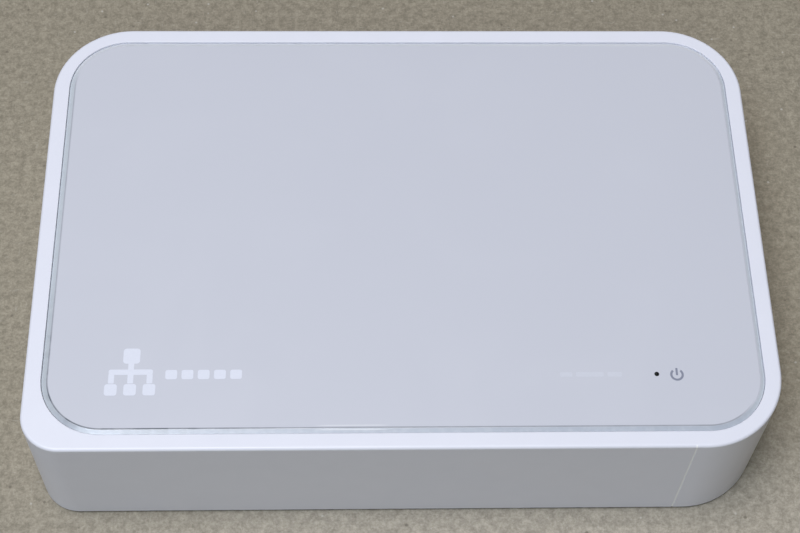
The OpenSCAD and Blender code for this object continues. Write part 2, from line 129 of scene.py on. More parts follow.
# %% A short way to write shader nodes
def add_node(tree, kind, links=None, **settings):
    """Adds one shader node. Each input gets either a value or a link from another node's socket."""
    made = tree.nodes.new("ShaderNode" + kind)
    for name, value in settings.items():
        setattr(made, name, value)
    for key, value in (links or {}).items():
        if isinstance(value, bpy.types.NodeSocket):
            tree.links.new(value, made.inputs[key])
        else:
            made.inputs[key].default_value = value
    return made


def calc(tree, operation, a, b=0.0, clamp=False):
    """One Math node. Returns its output socket."""
    return add_node(tree, "Math", {0: a, 1: b}, operation=operation, use_clamp=clamp).outputs[0]


def fade(tree, value, low, high, to_low=0.0, to_high=1.0):
    """Smooth step from to_low to to_high while value goes from low to high."""
    return add_node(tree, "MapRange", {"Value": value, "From Min": low, "From Max": high, "To Min": to_low,
                                       "To Max": to_high}, interpolation_type="SMOOTHSTEP").outputs[0]


def blend_colour(tree, share, a, b, how="MIX"):
    """Mixes colour b over colour a by share."""
    mix = add_node(tree, "Mix", data_type="RGBA", blend_type=how)
    for key, value in ((0, share), (6, a), (7, b)):
        if isinstance(value, bpy.types.NodeSocket):
            tree.links.new(value, mix.inputs[key])
        else:
            mix.inputs[key].default_value = value
    return mix.outputs[2]


def noise(tree, place, size_mm, detail=2.0, roughness=0.5, stretch=None):
    """Noise whose features are size_mm across, or longer along one axis where stretch says so."""
    if stretch:
        place = add_node(tree, "Mapping", {"Vector": place, "Scale": stretch}).outputs[0]
    return add_node(tree, "TexNoise", {"Vector": place, "Scale": 1 / (size_mm * MM), "Detail": detail,
                                       "Roughness": roughness}).outputs["Fac"]


def new_group(name, inputs, outputs):
    """Makes a shader group with named sockets. Returns the tree, its input node and its output node."""
    tree = bpy.data.node_groups.new(name, "ShaderNodeTree")
    for label, kind, value in inputs:
        socket = tree.interface.new_socket(name=label, in_out="INPUT", socket_type="NodeSocket" + kind)
        if value is not None:
            socket.default_value = value
    for label, kind in outputs:
        tree.interface.new_socket(name=label, in_out="OUTPUT", socket_type="NodeSocket" + kind)
    return tree, tree.nodes.new("NodeGroupInput"), tree.nodes.new("NodeGroupOutput")


def use_group(tree, name, links):
    """Places a group in a material or in another group."""
    placed = tree.nodes.new("ShaderNodeGroup")
    placed.node_tree = bpy.data.node_groups[name]
    for key, value in links.items():
        if isinstance(value, bpy.types.NodeSocket):
            tree.links.new(value, placed.inputs[key])
        else:
            placed.inputs[key].default_value = value
    return placed


# %% [markdown]
# ### Mould grain
#
# The steel mould is spark eroded, which leaves a fine, even, pebbled skin a few hundredths of a millimetre deep.
# Two sizes of noise make it: pebbles about a quarter of a millimetre across, and a slow waviness of several
# millimetres where the wall shrank as it cooled.

# %% Mould grain group
def make_mould_grain():
    tree, given, out = new_group(
        "mould grain", [("Place", "Vector", None), ("Grain mm", "Float", 0.25), ("Waviness", "Float", 0.3)],
        [("Height", "Float")])
    scale = calc(tree, "DIVIDE", 1.0 / MM, given.outputs["Grain mm"])
    pebbles = add_node(tree, "TexNoise", {"Vector": given.outputs["Place"], "Scale": scale, "Detail": 1.5,
                                          "Roughness": 0.6}).outputs["Fac"]
    waves = noise(tree, given.outputs["Place"], 9, detail=0.0)
    height = calc(tree, "ADD", calc(tree, "MULTIPLY", pebbles, 0.06),
                  calc(tree, "MULTIPLY", waves, given.outputs["Waviness"]))
    tree.links.new(height, out.inputs["Height"])


make_mould_grain()

# %% [markdown]
# ### Dust and smudges
#
# Dust is a scatter of single specks, far apart and about a fifth of a millimetre across. A cell pattern places
# one speck in some of the cells, and drops most of them by chance, so that they don't look like a grid. Smudges
# are broad soft patches where a finger left the surface a little duller.

# %% Dust and smudge groups
def make_dust():
    tree, given, out = new_group(
        "dust", [("Place", "Vector", None), ("Spacing mm", "Float", 6.0), ("Speck mm", "Float", 0.12),
                 ("Kept", "Float", 0.3)], [("Speck", "Float")])
    cells = add_node(tree, "TexVoronoi", {"Vector": given.outputs["Place"], "Randomness": 1.0,
                                          "Scale": calc(tree, "DIVIDE", 1.0 / MM, given.outputs["Spacing mm"])})
    reach = calc(tree, "DIVIDE", given.outputs["Speck mm"], given.outputs["Spacing mm"])
    core = calc(tree, "MULTIPLY", reach, 0.4)
    near = add_node(tree, "MapRange", {"Value": cells.outputs["Distance"], "From Min": core, "From Max": reach,
                                       "To Min": 1.0, "To Max": 0.0}, interpolation_type="SMOOTHSTEP").outputs[0]
    chance = add_node(tree, "SeparateColor", {"Color": cells.outputs["Color"]}).outputs[0]
    kept = calc(tree, "LESS_THAN", chance, given.outputs["Kept"])
    tree.links.new(calc(tree, "MULTIPLY", near, kept), out.inputs["Speck"])


def make_smudges():
    tree, given, out = new_group(
        "smudges", [("Place", "Vector", None), ("Size mm", "Float", 14.0)], [("Amount", "Float")])
    scale = calc(tree, "DIVIDE", 1.0 / MM, given.outputs["Size mm"])
    patches = add_node(tree, "TexNoise", {"Vector": given.outputs["Place"], "Scale": scale, "Detail": 4.0,
                                          "Roughness": 0.55, "Distortion": 0.6}).outputs["Fac"]
    tree.links.new(fade(tree, patches, 0.45, 0.7), out.inputs["Amount"])


make_dust()
make_smudges()

# %% [markdown]
# ### Distance from a rounded edge
#
# The inlaid plate changes across its outermost millimetre: a bevel, a fine line, then the print. A group works
# out how far inside the plate's rounded outline a point lies. It folds the point into one quarter of the plate,
# moves it by the half sizes less the corner radius, and takes the radius less the length of what is left. What is
# left also points at the nearest edge, so the group gives out that direction too.

# %% Edge distance group
def make_edge_distance():
    tree, given, out = new_group(
        "edge distance",
        [("Place", "Vector", None), ("Half width", "Float", 0.05), ("Half depth", "Float", 0.03),
         ("Radius", "Float", 0.008)],
        [("Inside", "Float"), ("To right", "Float"), ("To back", "Float")])
    split = add_node(tree, "SeparateXYZ", {"Vector": given.outputs["Place"]})
    over = [calc(tree, "ADD", calc(tree, "SUBTRACT", calc(tree, "ABSOLUTE", split.outputs[axis]),
                                   given.outputs[half]), given.outputs["Radius"])
            for axis, half in ((0, "Half width"), (1, "Half depth"))]
    beyond = [calc(tree, "MAXIMUM", value, 0.0) for value in over]
    length = calc(tree, "SQRT", calc(tree, "ADD", calc(tree, "MULTIPLY", beyond[0], beyond[0]),
                                     calc(tree, "MULTIPLY", beyond[1], beyond[1])))
    within = calc(tree, "MINIMUM", calc(tree, "MAXIMUM", over[0], over[1]), 0.0)
    inside = calc(tree, "SUBTRACT", given.outputs["Radius"], calc(tree, "ADD", length, within))
    tree.links.new(inside, out.inputs["Inside"])
    for axis, label in ((0, "To right"), (1, "To back")):
        side = calc(tree, "SIGN", split.outputs[axis])
        way = calc(tree, "DIVIDE", calc(tree, "MULTIPLY", beyond[axis], side),
                   calc(tree, "MAXIMUM", length, 1e-6))
        tree.links.new(way, out.inputs[label])


make_edge_distance()
print("shader groups:", [g.name for g in bpy.data.node_groups])

# %% [markdown]
# ### Materials
#
# A material starts from one Principled shader. Values that are the same all over sit on the shader's own sockets.
# What changes over the surface comes in through colours, roughness and bump.

# %% Start of a material
def new_material(name, **values):
    """A material with one Principled shader and the surface's own place, in metres, for its patterns."""
    material = bpy.data.materials.new(name)
    material.use_nodes = True
    tree = material.node_tree
    shader = tree.nodes["Principled BSDF"]
    for key, value in values.items():
        shader.inputs[key.replace("_", " ")].default_value = value
    place = add_node(tree, "TexCoord").outputs["Object"]
    return material, tree, shader, place


def set_bump(tree, shader, height, depth_mm, strength=1.0):
    """Tilts the surface by a height pattern whose full swing is depth_mm."""
    bump = add_node(tree, "Bump", {"Height": height, "Distance": depth_mm * MM, "Strength": strength})
    tree.links.new(bump.outputs[0], shader.inputs["Normal"])


def grey(value, tint=(1, 1, 1)):
    """A colour from a lightness and a tint, as the shader wants it."""
    return (value * tint[0], value * tint[1], value * tint[2], 1.0)


# %% [markdown]
# The case is a white styrene plastic with a hint of blue. Its skin is satin: the highlight is broad, and the
# grain is only just seen up close, and some specks of dust lie on it. The base, the jack, the chips and the feet
# are moulded too, each with its own grain.

# %% Moulded plastics
def moulded(name, colour, roughness, grain_mm=0.25, depth_mm=0.02, dust=0.25, waviness=0.25,
            speck=(0.25, 0.24, 0.22, 1)):
    """Grained plastic: pebbled bump, roughness that wanders with smudges, faint mottling and dust."""
    material, tree, shader, place = new_material(name, Specular_IOR_Level=0.5)
    smudge = use_group(tree, "smudges", {"Place": place}).outputs[0]
    speck_mask = use_group(tree, "dust", {"Place": place, "Kept": dust}).outputs[0]
    mottle = noise(tree, place, 3.5, detail=3.0)
    darker = tuple(c * 0.965 for c in colour[:3]) + (1.0,)
    base = blend_colour(tree, mottle, colour, darker)
    base = blend_colour(tree, calc(tree, "MULTIPLY", speck_mask, 0.5), base, speck)
    tree.links.new(base, shader.inputs["Base Color"])
    tree.links.new(calc(tree, "ADD", calc(tree, "MULTIPLY", smudge, 0.10), roughness), shader.inputs["Roughness"])
    grain = use_group(tree, "mould grain", {"Place": place, "Grain mm": grain_mm, "Waviness": waviness}).outputs[0]
    set_bump(tree, shader, grain, depth_mm)
    return material


cover_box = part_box("top_cover")
cover_white = moulded("cover white", (0.82, 0.828, 0.92, 1), 0.38)
base_white = moulded("base white", (0.74, 0.76, 0.82, 1), 0.48, grain_mm=0.35, depth_mm=0.04)
jack_black = moulded("jack black", (0.012, 0.012, 0.014, 1), 0.42, grain_mm=0.2, depth_mm=0.012,
                     dust=0.5, speck=(0.18, 0.17, 0.16, 1))
package_black = moulded("package black", (0.018, 0.018, 0.020, 1), 0.55, grain_mm=0.12, depth_mm=0.015,
                        speck=(0.1, 0.1, 0.1, 1))
rubber_grey = moulded("foot rubber", (0.045, 0.045, 0.048, 1), 0.72, grain_mm=0.3, depth_mm=0.05, dust=0.9,
                      speck=(0.3, 0.29, 0.27, 1))

# %% [markdown]
# Two parts of the cover's mould met on the front wall, near the right corner. They left a pale upright line about
# a fifth of a millimetre wide. The lower edge stands just above the table, and a patchy painted shade darkens it
# there. Both are blended over the white, by the distance from the line and by the height above the table.

# %% Mould line and lower edge of the cover
MOULD_LINE_X = (cover_box[1].x - cover_box[0].x) / 2 / MM - 12.8


def add_cover_marks():
    """Lays the mould line and a patchy painted shade at the lower edge over the colour that the cover's shader
    already has.
    """
    tree = cover_white.node_tree
    shader = tree.nodes["Principled BSDF"]
    skin = shader.inputs["Base Color"].links[0].from_socket
    place = add_node(tree, "TexCoord").outputs["Object"]
    spot = add_node(tree, "SeparateXYZ", {"Vector": place})
    off_line = calc(tree, "ABSOLUTE", calc(tree, "SUBTRACT", spot.outputs["X"], MOULD_LINE_X * MM))
    in_front = calc(tree, "LESS_THAN", spot.outputs["Y"], cover_box[0].y + 0.3 * MM)
    line = calc(tree, "MULTIPLY", fade(tree, off_line, 0.14 * MM, 0.07 * MM), in_front)
    skin = blend_colour(tree, calc(tree, "MULTIPLY", line, 0.8), skin, (1.0, 1.0, 1.0, 1))
    # Painted shade: the lower edge is darkened in patches, for the shade where the cover meets the table
    low = fade(tree, spot.outputs["Z"], cover_box[0].z + 0.42 * MM, cover_box[0].z + 0.2 * MM)
    patchy_dark = fade(tree, calc(tree, "MULTIPLY", low, noise(tree, place, 1.5, detail=4.0)), 0.1, 0.4, 0.0, 0.95)
    outside = fade(tree, spot.outputs["Z"], cover_box[0].z + 0.01 * MM, cover_box[0].z + 0.05 * MM, 0.35, 1.0)
    patchy_dark = calc(tree, "MULTIPLY", patchy_dark, outside)
    tree.links.new(blend_colour(tree, patchy_dark, skin, (0.06, 0.055, 0.05, 1)), shader.inputs["Base Color"])


add_cover_marks()
print("mould line at x =", round(MOULD_LINE_X, 2), "mm")

# %% [markdown]
# The plate is clear plastic with a pale grey-lavender print on its back. Seen from above, print and plastic are
# one: a coloured layer under a smooth coat. The bevel shows the plastic itself, which is faintly green, and its
# tone from side to side is painted light and shade. Inside the bevel, at the front and the left, a fine dark line
# is painted shade, stronger and patchy towards the front left corner, where the bevel is darker in patches too.

# %% Plate print
PLATE_LOW, PLATE_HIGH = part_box("cover_plate")
RIM_W = 2.35
PLATE_GAP = (cover_box[1].x - PLATE_HIGH.x) / MM - RIM_W
PLATE_RADIUS = (8.5 - PLATE_GAP) * MM
BEVEL = 0.7 * MM


def tint(colour, by):
    """A colour with each channel scaled."""
    return tuple(c * k for c, k in zip(colour[:3], by)) + (1.0,)


def make_plate_print():
    print_colour = (0.632, 0.643, 0.716, 1)
    material, tree, shader, place = new_material("plate print", Coat_Weight=0.35, Coat_Roughness=0.12)
    half = (PLATE_HIGH - PLATE_LOW) / 2
    edge = use_group(tree, "edge distance", {"Place": place, "Half width": half.x, "Half depth": half.y,
                                             "Radius": PLATE_RADIUS})
    inside, right, back = edge.outputs
    tone = noise(tree, place, 28, detail=1.0)
    deeper = tint(print_colour, (0.95, 0.95, 0.96))
    base = blend_colour(tree, calc(tree, "MULTIPLY", tone, 0.35), print_colour, deeper)

    # The bevel: pale at the front, darker and greener at the sides, like the print at the back. These tones per side
    # are painted light and shade for how each side faces the lamps; the faint green is the plastic's own.
    streaks = fade(tree, noise(tree, place, 0.9, detail=3.0), 0.35, 0.7)
    at_side = fade(tree, calc(tree, "ABSOLUTE", right), 0.55, 0.95)
    at_back = fade(tree, back, 0.1, 0.6)
    front_tone, side_tone, streak_tone, back_tone = (tint(print_colour, by) for by in (
        (0.70, 0.745, 0.77), (0.86, 0.91, 0.89), (1.05, 1.07, 1.02), (1.06, 1.07, 1.03)))
    rim_tone = blend_colour(tree, at_side, front_tone, side_tone)
    rim_tone = blend_colour(tree, calc(tree, "MULTIPLY", streaks, 0.2), rim_tone, streak_tone)
    rim_tone = blend_colour(tree, at_back, rim_tone, back_tone)
    end = calc(tree, "MULTIPLY", fade(tree, right, 0.7, 0.95), -0.35 * MM)
    bevel = fade(tree, inside, BEVEL + 0.02 * MM, calc(tree, "ADD", end, BEVEL - 0.10 * MM))
    base = blend_colour(tree, bevel, base, rim_tone)

    # Painted shade: a fine dark line inside the bevel at the front and the left, stronger and patchy towards the
    # front left corner, where the bevel itself is darker in patches
    facing = calc(tree, "ADD", calc(tree, "MULTIPLY", back, -1.0), calc(tree, "MULTIPLY", right, -0.5))
    where = fade(tree, facing, 0.0, 0.75)
    line = calc(tree, "MULTIPLY", fade(tree, inside, BEVEL - 0.07 * MM, BEVEL + 0.02 * MM),
                fade(tree, inside, BEVEL + 0.25 * MM, BEVEL + 0.09 * MM))
    patchy_dark = fade(tree, noise(tree, place, 2.2, detail=3.0), 0.42, 0.62)
    spot = add_node(tree, "SeparateXYZ", {"Vector": place})
    corner = calc(tree, "MULTIPLY", fade(tree, spot.outputs["X"], -14 * MM, -34 * MM),
                  fade(tree, spot.outputs["Y"], -6 * MM, -20 * MM))
    strength = calc(tree, "ADD", calc(tree, "ADD", 0.50, calc(tree, "MULTIPLY", corner, 0.22)),
                    calc(tree, "MULTIPLY", patchy_dark, calc(tree, "ADD", 0.08, calc(tree, "MULTIPLY", corner, 0.24))))
    # The bevel is darker in patches towards the front left corner
    corner_dark = calc(tree, "MULTIPLY", calc(tree, "MULTIPLY", bevel, corner),
                 calc(tree, "ADD", 0.12, calc(tree, "MULTIPLY", patchy_dark, 0.18)))
    base = blend_colour(tree, corner_dark, base, (0.20, 0.21, 0.22, 1))
    line = calc(tree, "MULTIPLY", line, calc(tree, "MULTIPLY", where, strength))
    base = blend_colour(tree, line, base, (0.13, 0.15, 0.18, 1))

    # Painted highlights: two bright strips along a stretch of the front edge, one on each side of the line
    painted_glint = fade(tree, calc(tree, "ABSOLUTE", calc(tree, "ADD", spot.outputs["X"], 7.2 * MM)), 5.6 * MM, 3.2 * MM)
    beside = calc(tree, "ABSOLUTE", calc(tree, "SUBTRACT", inside, BEVEL + 0.10 * MM))
    painted_glint = calc(tree, "MULTIPLY", painted_glint, fade(tree, back, -0.8, -0.95))
    strips = calc(tree, "MULTIPLY", fade(tree, beside, 0.18 * MM, 0.26 * MM),
                  fade(tree, beside, 0.42 * MM, 0.34 * MM))
    painted_glint = calc(tree, "MULTIPLY", painted_glint, strips)
    base = blend_colour(tree, calc(tree, "MULTIPLY", painted_glint, 0.4), base, (0.92, 0.93, 0.96, 1))

    speck = use_group(tree, "dust", {"Place": place, "Spacing mm": 9.0, "Speck mm": 0.2, "Kept": 0.15}).outputs[0]
    base = blend_colour(tree, calc(tree, "MULTIPLY", speck, 0.45), base, (0.16, 0.17, 0.19, 1))

    # Painted shade: the wall of the pinhole and a thin ring round it are near black, so that the light under it shows
    # as a point
    hole = add_node(tree, "VectorMath", {0: place, 1: (LIGHT_XY[0] * MM, LIGHT_XY[1] * MM, 0)},
                    operation="SUBTRACT").outputs[0]
    flat = add_node(tree, "VectorMath", {0: hole, 1: (1, 1, 0)}, operation="MULTIPLY").outputs[0]
    radius = add_node(tree, "VectorMath", {0: flat}, operation="LENGTH").outputs["Value"]
    base = blend_colour(tree, fade(tree, radius, 0.36 * MM, 0.31 * MM), base, (0.02, 0.02, 0.025, 1))
    tree.links.new(base, shader.inputs["Base Color"])
    smudge = use_group(tree, "smudges", {"Place": place, "Size mm": 18.0}).outputs[0]
    tree.links.new(calc(tree, "ADD", calc(tree, "MULTIPLY", smudge, 0.08), 0.30), shader.inputs["Roughness"])
    grain = use_group(tree, "mould grain", {"Place": place, "Grain mm": 0.5, "Waviness": 0.5}).outputs[0]
    set_bump(tree, shader, grain, 0.006)
    return material


pipe_low, pipe_high = (np.array(v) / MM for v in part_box("light_pipe"))
LIGHT_XY = (pipe_low + pipe_high)[:2] / 2
plate_print = make_plate_print()


def ink(name, colour):
    """Thin printed ink: one colour, broken a little at its edges and in its body by fine noise."""
    material, tree, shader, place = new_material(name, Coat_Weight=0.35, Coat_Roughness=0.12)
    body = noise(tree, place, 0.3, detail=2.0)
    lighter = tuple(min(1.0, c * 1.06) for c in colour[:3]) + (1.0,)
    tree.links.new(blend_colour(tree, body, colour, lighter), shader.inputs["Base Color"])
    tree.links.new(calc(tree, "ADD", calc(tree, "MULTIPLY", body, 0.12), 0.27), shader.inputs["Roughness"])
    set_bump(tree, shader, body, 0.003)
    return material


pale_ink = ink("pale ink", (0.755, 0.775, 0.875, 1))
faint_ink = ink("faint ink", (0.641, 0.655, 0.733, 1))
dark_ink = ink("dark ink", (0.255, 0.27, 0.345, 1))

# %% [markdown]
# ### Metals, resin and the board
#
# Contact wires are bronze with a flash of gold. Leads and tails are tinned, which is duller and slightly uneven.
# Drawn cans show fine lines along their pull. The board is woven glass under a green mask, and the weave shows
# as a faint cloth pattern.

# %% Metals
def metal(name, colour, roughness, streak=(1, 1, 1), size_mm=0.5, depth_mm=0.004, tarnish=0.12):
    """Metal whose roughness and tone wander, with fine marks drawn out along one axis where streak says so."""
    material, tree, shader, place = new_material(name, Metallic=1.0)
    marks = noise(tree, place, size_mm, detail=3.0, stretch=streak)
    patches = use_group(tree, "smudges", {"Place": place, "Size mm": 4.0}).outputs[0]
    dull = tuple(c * 0.72 for c in colour[:3]) + (1.0,)
    tree.links.new(blend_colour(tree, calc(tree, "MULTIPLY", patches, tarnish), colour, dull),
                   shader.inputs["Base Color"])
    tree.links.new(calc(tree, "ADD", calc(tree, "MULTIPLY", marks, 0.16), roughness - 0.08),
                   shader.inputs["Roughness"])
    set_bump(tree, shader, marks, depth_mm)
    return material


gold = metal("contact gold", (0.86, 0.62, 0.26, 1), 0.24, streak=(1, 0.15, 1), size_mm=0.12)
tinned = metal("tinned lead", (0.74, 0.74, 0.76, 1), 0.38, size_mm=0.25, tarnish=0.4)
nickel = metal("nickel plate", (0.72, 0.70, 0.66, 1), 0.20, streak=(1, 0.1, 1), size_mm=0.2)
zinc = metal("zinc plate", (0.66, 0.67, 0.70, 1), 0.34, size_mm=0.35, tarnish=0.3)
drawn_can = metal("drawn can", (0.78, 0.78, 0.80, 1), 0.28, streak=(1, 1, 0.08), size_mm=0.3)
ferrite = metal("ferrite", (0.10, 0.10, 0.11, 1), 0.55, size_mm=0.2, depth_mm=0.02)
ferrite.node_tree.nodes["Principled BSDF"].inputs["Metallic"].default_value = 0.3


# %% [markdown]
# Two clear resins guide the lights out. A matt printed label and a sticky film are paper and polymer, dull and
# faintly mottled. The board has its weave, and the chip parts have a ceramic body between two tinned ends. The
# shaders below differ only in the pattern that suits each of them.

# %% Resin, label, film and chip parts
def make_light_guide():
    """Clear moulded resin, faintly green, with tiny waves in its skin."""
    material, tree, shader, place = new_material(
        "light guide", IOR=1.49, Transmission_Weight=0.55, Coat_Weight=0.5)
    haze = noise(tree, place, 1.2, detail=2.0)
    tree.links.new(blend_colour(tree, haze, (0.62, 0.80, 0.60, 1), (0.78, 0.90, 0.76, 1)),
                   shader.inputs["Base Color"])
    tree.links.new(calc(tree, "ADD", calc(tree, "MULTIPLY", haze, 0.15), 0.12), shader.inputs["Roughness"])
    set_bump(tree, shader, haze, 0.01)
    return material


def make_label():
    """Silver-grey film with a fine brushed print, and a plain printed frame line near its edge."""
    material, tree, shader, place = new_material("label film", Coat_Weight=0.2, Coat_Roughness=0.2)
    low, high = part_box("rating_label")
    half = (high - low) / 2
    inside = use_group(tree, "edge distance", {"Place": place, "Half width": half.x, "Half depth": half.y,
                                               "Radius": 1.0 * MM}).outputs[0]
    frame_line = calc(tree, "MULTIPLY", fade(tree, inside, 1.0 * MM, 1.05 * MM),
                      fade(tree, inside, 1.3 * MM, 1.25 * MM))
    brushed = noise(tree, place, 0.3, detail=2.0, stretch=(0.05, 1, 1))
    base = blend_colour(tree, brushed, (0.52, 0.53, 0.55, 1), (0.62, 0.63, 0.65, 1))
    tree.links.new(blend_colour(tree, calc(tree, "MULTIPLY", frame_line, 0.7), base, (0.12, 0.12, 0.13, 1)),
                   shader.inputs["Base Color"])
    tree.links.new(calc(tree, "ADD", calc(tree, "MULTIPLY", brushed, 0.15), 0.35), shader.inputs["Roughness"])
    set_bump(tree, shader, brushed, 0.004)
    return material


def make_board():
    """Green mask over woven glass: two crossed waves give the cloth, patches of copper show as lighter green."""
    material, tree, shader, place = new_material("circuit board", Coat_Weight=0.3, Coat_Roughness=0.15)
    waves = [add_node(tree, "TexWave", {"Vector": place, "Scale": 330.0, "Distortion": 0.4},
                      bands_direction=axis).outputs["Fac"] for axis in ("X", "Y")]
    cloth = calc(tree, "MULTIPLY", waves[0], waves[1])
    blocks = add_node(tree, "TexBrick", {"Vector": place, "Scale": 90.0, "Mortar Size": 0.035, "Mortar Smooth": 0.1,
                                         "Color1": grey(1), "Color2": grey(0.85), "Mortar": grey(0)}).outputs["Fac"]
    base = blend_colour(tree, blocks, (0.016, 0.120, 0.050, 1), (0.008, 0.070, 0.030, 1))
    base = blend_colour(tree, calc(tree, "MULTIPLY", cloth, 0.3), base, (0.035, 0.190, 0.085, 1))
    tree.links.new(base, shader.inputs["Base Color"])
    tree.links.new(calc(tree, "ADD", calc(tree, "MULTIPLY", cloth, 0.1), 0.3), shader.inputs["Roughness"])
    set_bump(tree, shader, blocks, -0.03)
    return material


def make_chip_part(name, colour):
    """Fired ceramic body with a fine grain over the whole part, its tinned ends included."""
    material, tree, shader, place = new_material(name, Specular_IOR_Level=0.4)
    grain = noise(tree, place, 0.15, detail=3.0)
    tree.links.new(blend_colour(tree, grain, colour, tuple(c * 0.7 for c in colour[:3]) + (1.0,)),
                   shader.inputs["Base Color"])
    tree.links.new(calc(tree, "ADD", calc(tree, "MULTIPLY", grain, 0.2), 0.4), shader.inputs["Roughness"])
    set_bump(tree, shader, grain, 0.01)
    return material


light_guide = make_light_guide()
label_film = make_label()
board_green = make_board()
resistor_black = make_chip_part("resistor black", (0.02, 0.02, 0.022, 1))
capacitor_tan = make_chip_part("capacitor tan", (0.42, 0.29, 0.16, 1))
glue_film = moulded("adhesive film", (0.85, 0.85, 0.82, 1), 0.5, depth_mm=0.01)
phosphor = make_chip_part("phosphor", (0.80, 0.78, 0.30, 1))
print("materials:", len(bpy.data.materials))

# %% [markdown]
# ## The top cover
#
# On the real object the cover is one moulding: walls down to the desk, a narrow flat rim, and a shallow recess
# for the plate. Three corners are wide and the front left one is tight. It could be a box with bevels, but then
# the rim's rounding and the corner's would be tied together. Here one profile is carried round the outline
# instead. The recess has its own, rounder outline, with as many points as the outer one, so the rim is simply
# the faces between the two.

# %% Outlines and the carried profile
ARC_STEPS = 28


def outline(width, depth, radii):
    """Points and outward normals of a rounded rectangle, anticlockwise from the front left corner: at each corner,
    the arc's middle plus the radius times (cos, sin) of the angle. The sides are the steps between the arcs."""
    radii = np.asarray(radii, float)
    middle = np.stack([np.array([-1, 1, 1, -1]) * (width / 2 - radii),
                       np.array([-1, -1, 1, 1]) * (depth / 2 - radii)], -1)
    angle = np.radians(180 + 90 * np.arange(4))[:, None] + np.linspace(0, math.pi / 2, ARC_STEPS + 1)[None]
    normal = np.stack([np.cos(angle), np.sin(angle)], -1)
    points = middle[:, None] + normal * radii[:, None, None]
    return points.reshape(-1, 2), normal.reshape(-1, 2)


def carry(line, profile):
    """Rings of an outline moved inwards and up: ring i is the outline less its normals times profile[i][0], at the
    height profile[i][1]."""
    points, normals = line
    profile = np.asarray(profile, float)
    flat = points[None] - normals[None] * profile[:, 0, None, None]
    height = np.broadcast_to(profile[:, 1, None, None], flat.shape[:2] + (1,))
    return np.concatenate([flat, height], -1)


def rounding(start, end, steps, convex=True):
    """Quarter round from start to end in a profile of (inset, height): x leads with a sine, z with a cosine."""
    t = np.linspace(0, math.pi / 2, steps + 1)
    (x0, z0), (x1, z1) = start, end
    if convex:
        return np.stack([x0 + (x1 - x0) * (1 - np.cos(t)), z0 + (z1 - z0) * np.sin(t)], -1)
    return np.stack([x0 + (x1 - x0) * np.sin(t), z0 + (z1 - z0) * (1 - np.cos(t))], -1)


# %% [markdown]
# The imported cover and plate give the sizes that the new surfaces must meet. The rim, the recess and the corner
# radii are repeated here in millimetres, because the profile of the cover is drawn from them.

# %% Sizes of the case
cover_low, cover_high = (np.array(v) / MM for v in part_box("top_cover"))
CASE_W, CASE_D = (cover_high - cover_low)[:2]
RIM_Z, UNDER_Z = cover_high[2], cover_low[2]
WALL = 2.0
EDGE_ROUND = 0.45
RECESS_R = 8.5
RECESS_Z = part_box("adhesive_film")[0].z / MM
ROOF_Z = RECESS_Z - 1.3
CASE_RADII = np.array([5.5, 11.4, 11.4, 11.4])
BACK_Y = cover_high[1]
print("case", round(CASE_W, 2), "x", round(CASE_D, 2), "rim at", round(RIM_Z, 2))


# %% [markdown]
# The windows in the back wall, the hole for the light and the pockets for the hooks are cut by simple solids.
# A boolean takes them away one after the other, and the result is written into the mesh each time.

# %% Boxes that cut openings
def box_solid(low, high):
    """The eight corners and six faces of a box, as a closed solid."""
    low, high = np.asarray(low, float), np.asarray(high, float)
    pick = np.array([[0, 0], [1, 0], [1, 1], [0, 1]])
    ring = np.where(pick == 1, high[:2], low[:2])
    rings = np.stack([np.column_stack([ring, np.full(4, z)]) for z in (low[2], high[2])])
    return closed_stack(rings)


def lathe(profile, turns=48):
    """A profile of (radius, height) turned about the Z axis: (r cos a, r sin a, z). Ends near the axis close."""
    profile = np.asarray(profile, float)
    angle = np.linspace(0, 2 * math.pi, turns, endpoint=False)
    circle = np.stack([np.cos(angle), np.sin(angle)], -1)
    flat = np.maximum(profile[:, 0, None, None], 0.002) * circle[None]
    height = np.broadcast_to(profile[:, 1, None, None], flat.shape[:2] + (1,))
    return np.concatenate([flat, height], -1)


def moved(solid, by):
    """A solid shifted by (x, y, z)."""
    return solid[0] + np.asarray(by, float), solid[1]


def carve(piece, solids):
    """Cuts solids out of a piece, one after the other, and keeps the result as its mesh."""
    for number, solid in enumerate(solids):
        tool = mesh_piece(f"cutter_{number}", [solid], piece.data.materials[0])
        cut = piece.modifiers.new("cut", "BOOLEAN")
        cut.object, cut.operation, cut.solver = tool, "DIFFERENCE", "EXACT"
        evaluated = piece.evaluated_get(bpy.context.evaluated_depsgraph_get())
        result = bpy.data.meshes.new_from_object(evaluated)
        piece.modifiers.clear()
        old, piece.data = piece.data, result
        bpy.data.meshes.remove(old)
        bpy.data.objects.remove(tool)
    piece.data.name = piece.name
    return piece


# %% [markdown]
# The cover is one shell. Its profile runs up the inside, over the roof's underside, back along the floor of the
# recess, up to the rim, and down the outside to the lower edge. The outer edge of the rim has a small rounding,
# and the lip and the lower edge are just broken, as they are on a moulding. Carried round the outline, the profile
# becomes rings of points, and the windows, the light hole, the mould line and the pockets are then cut out.

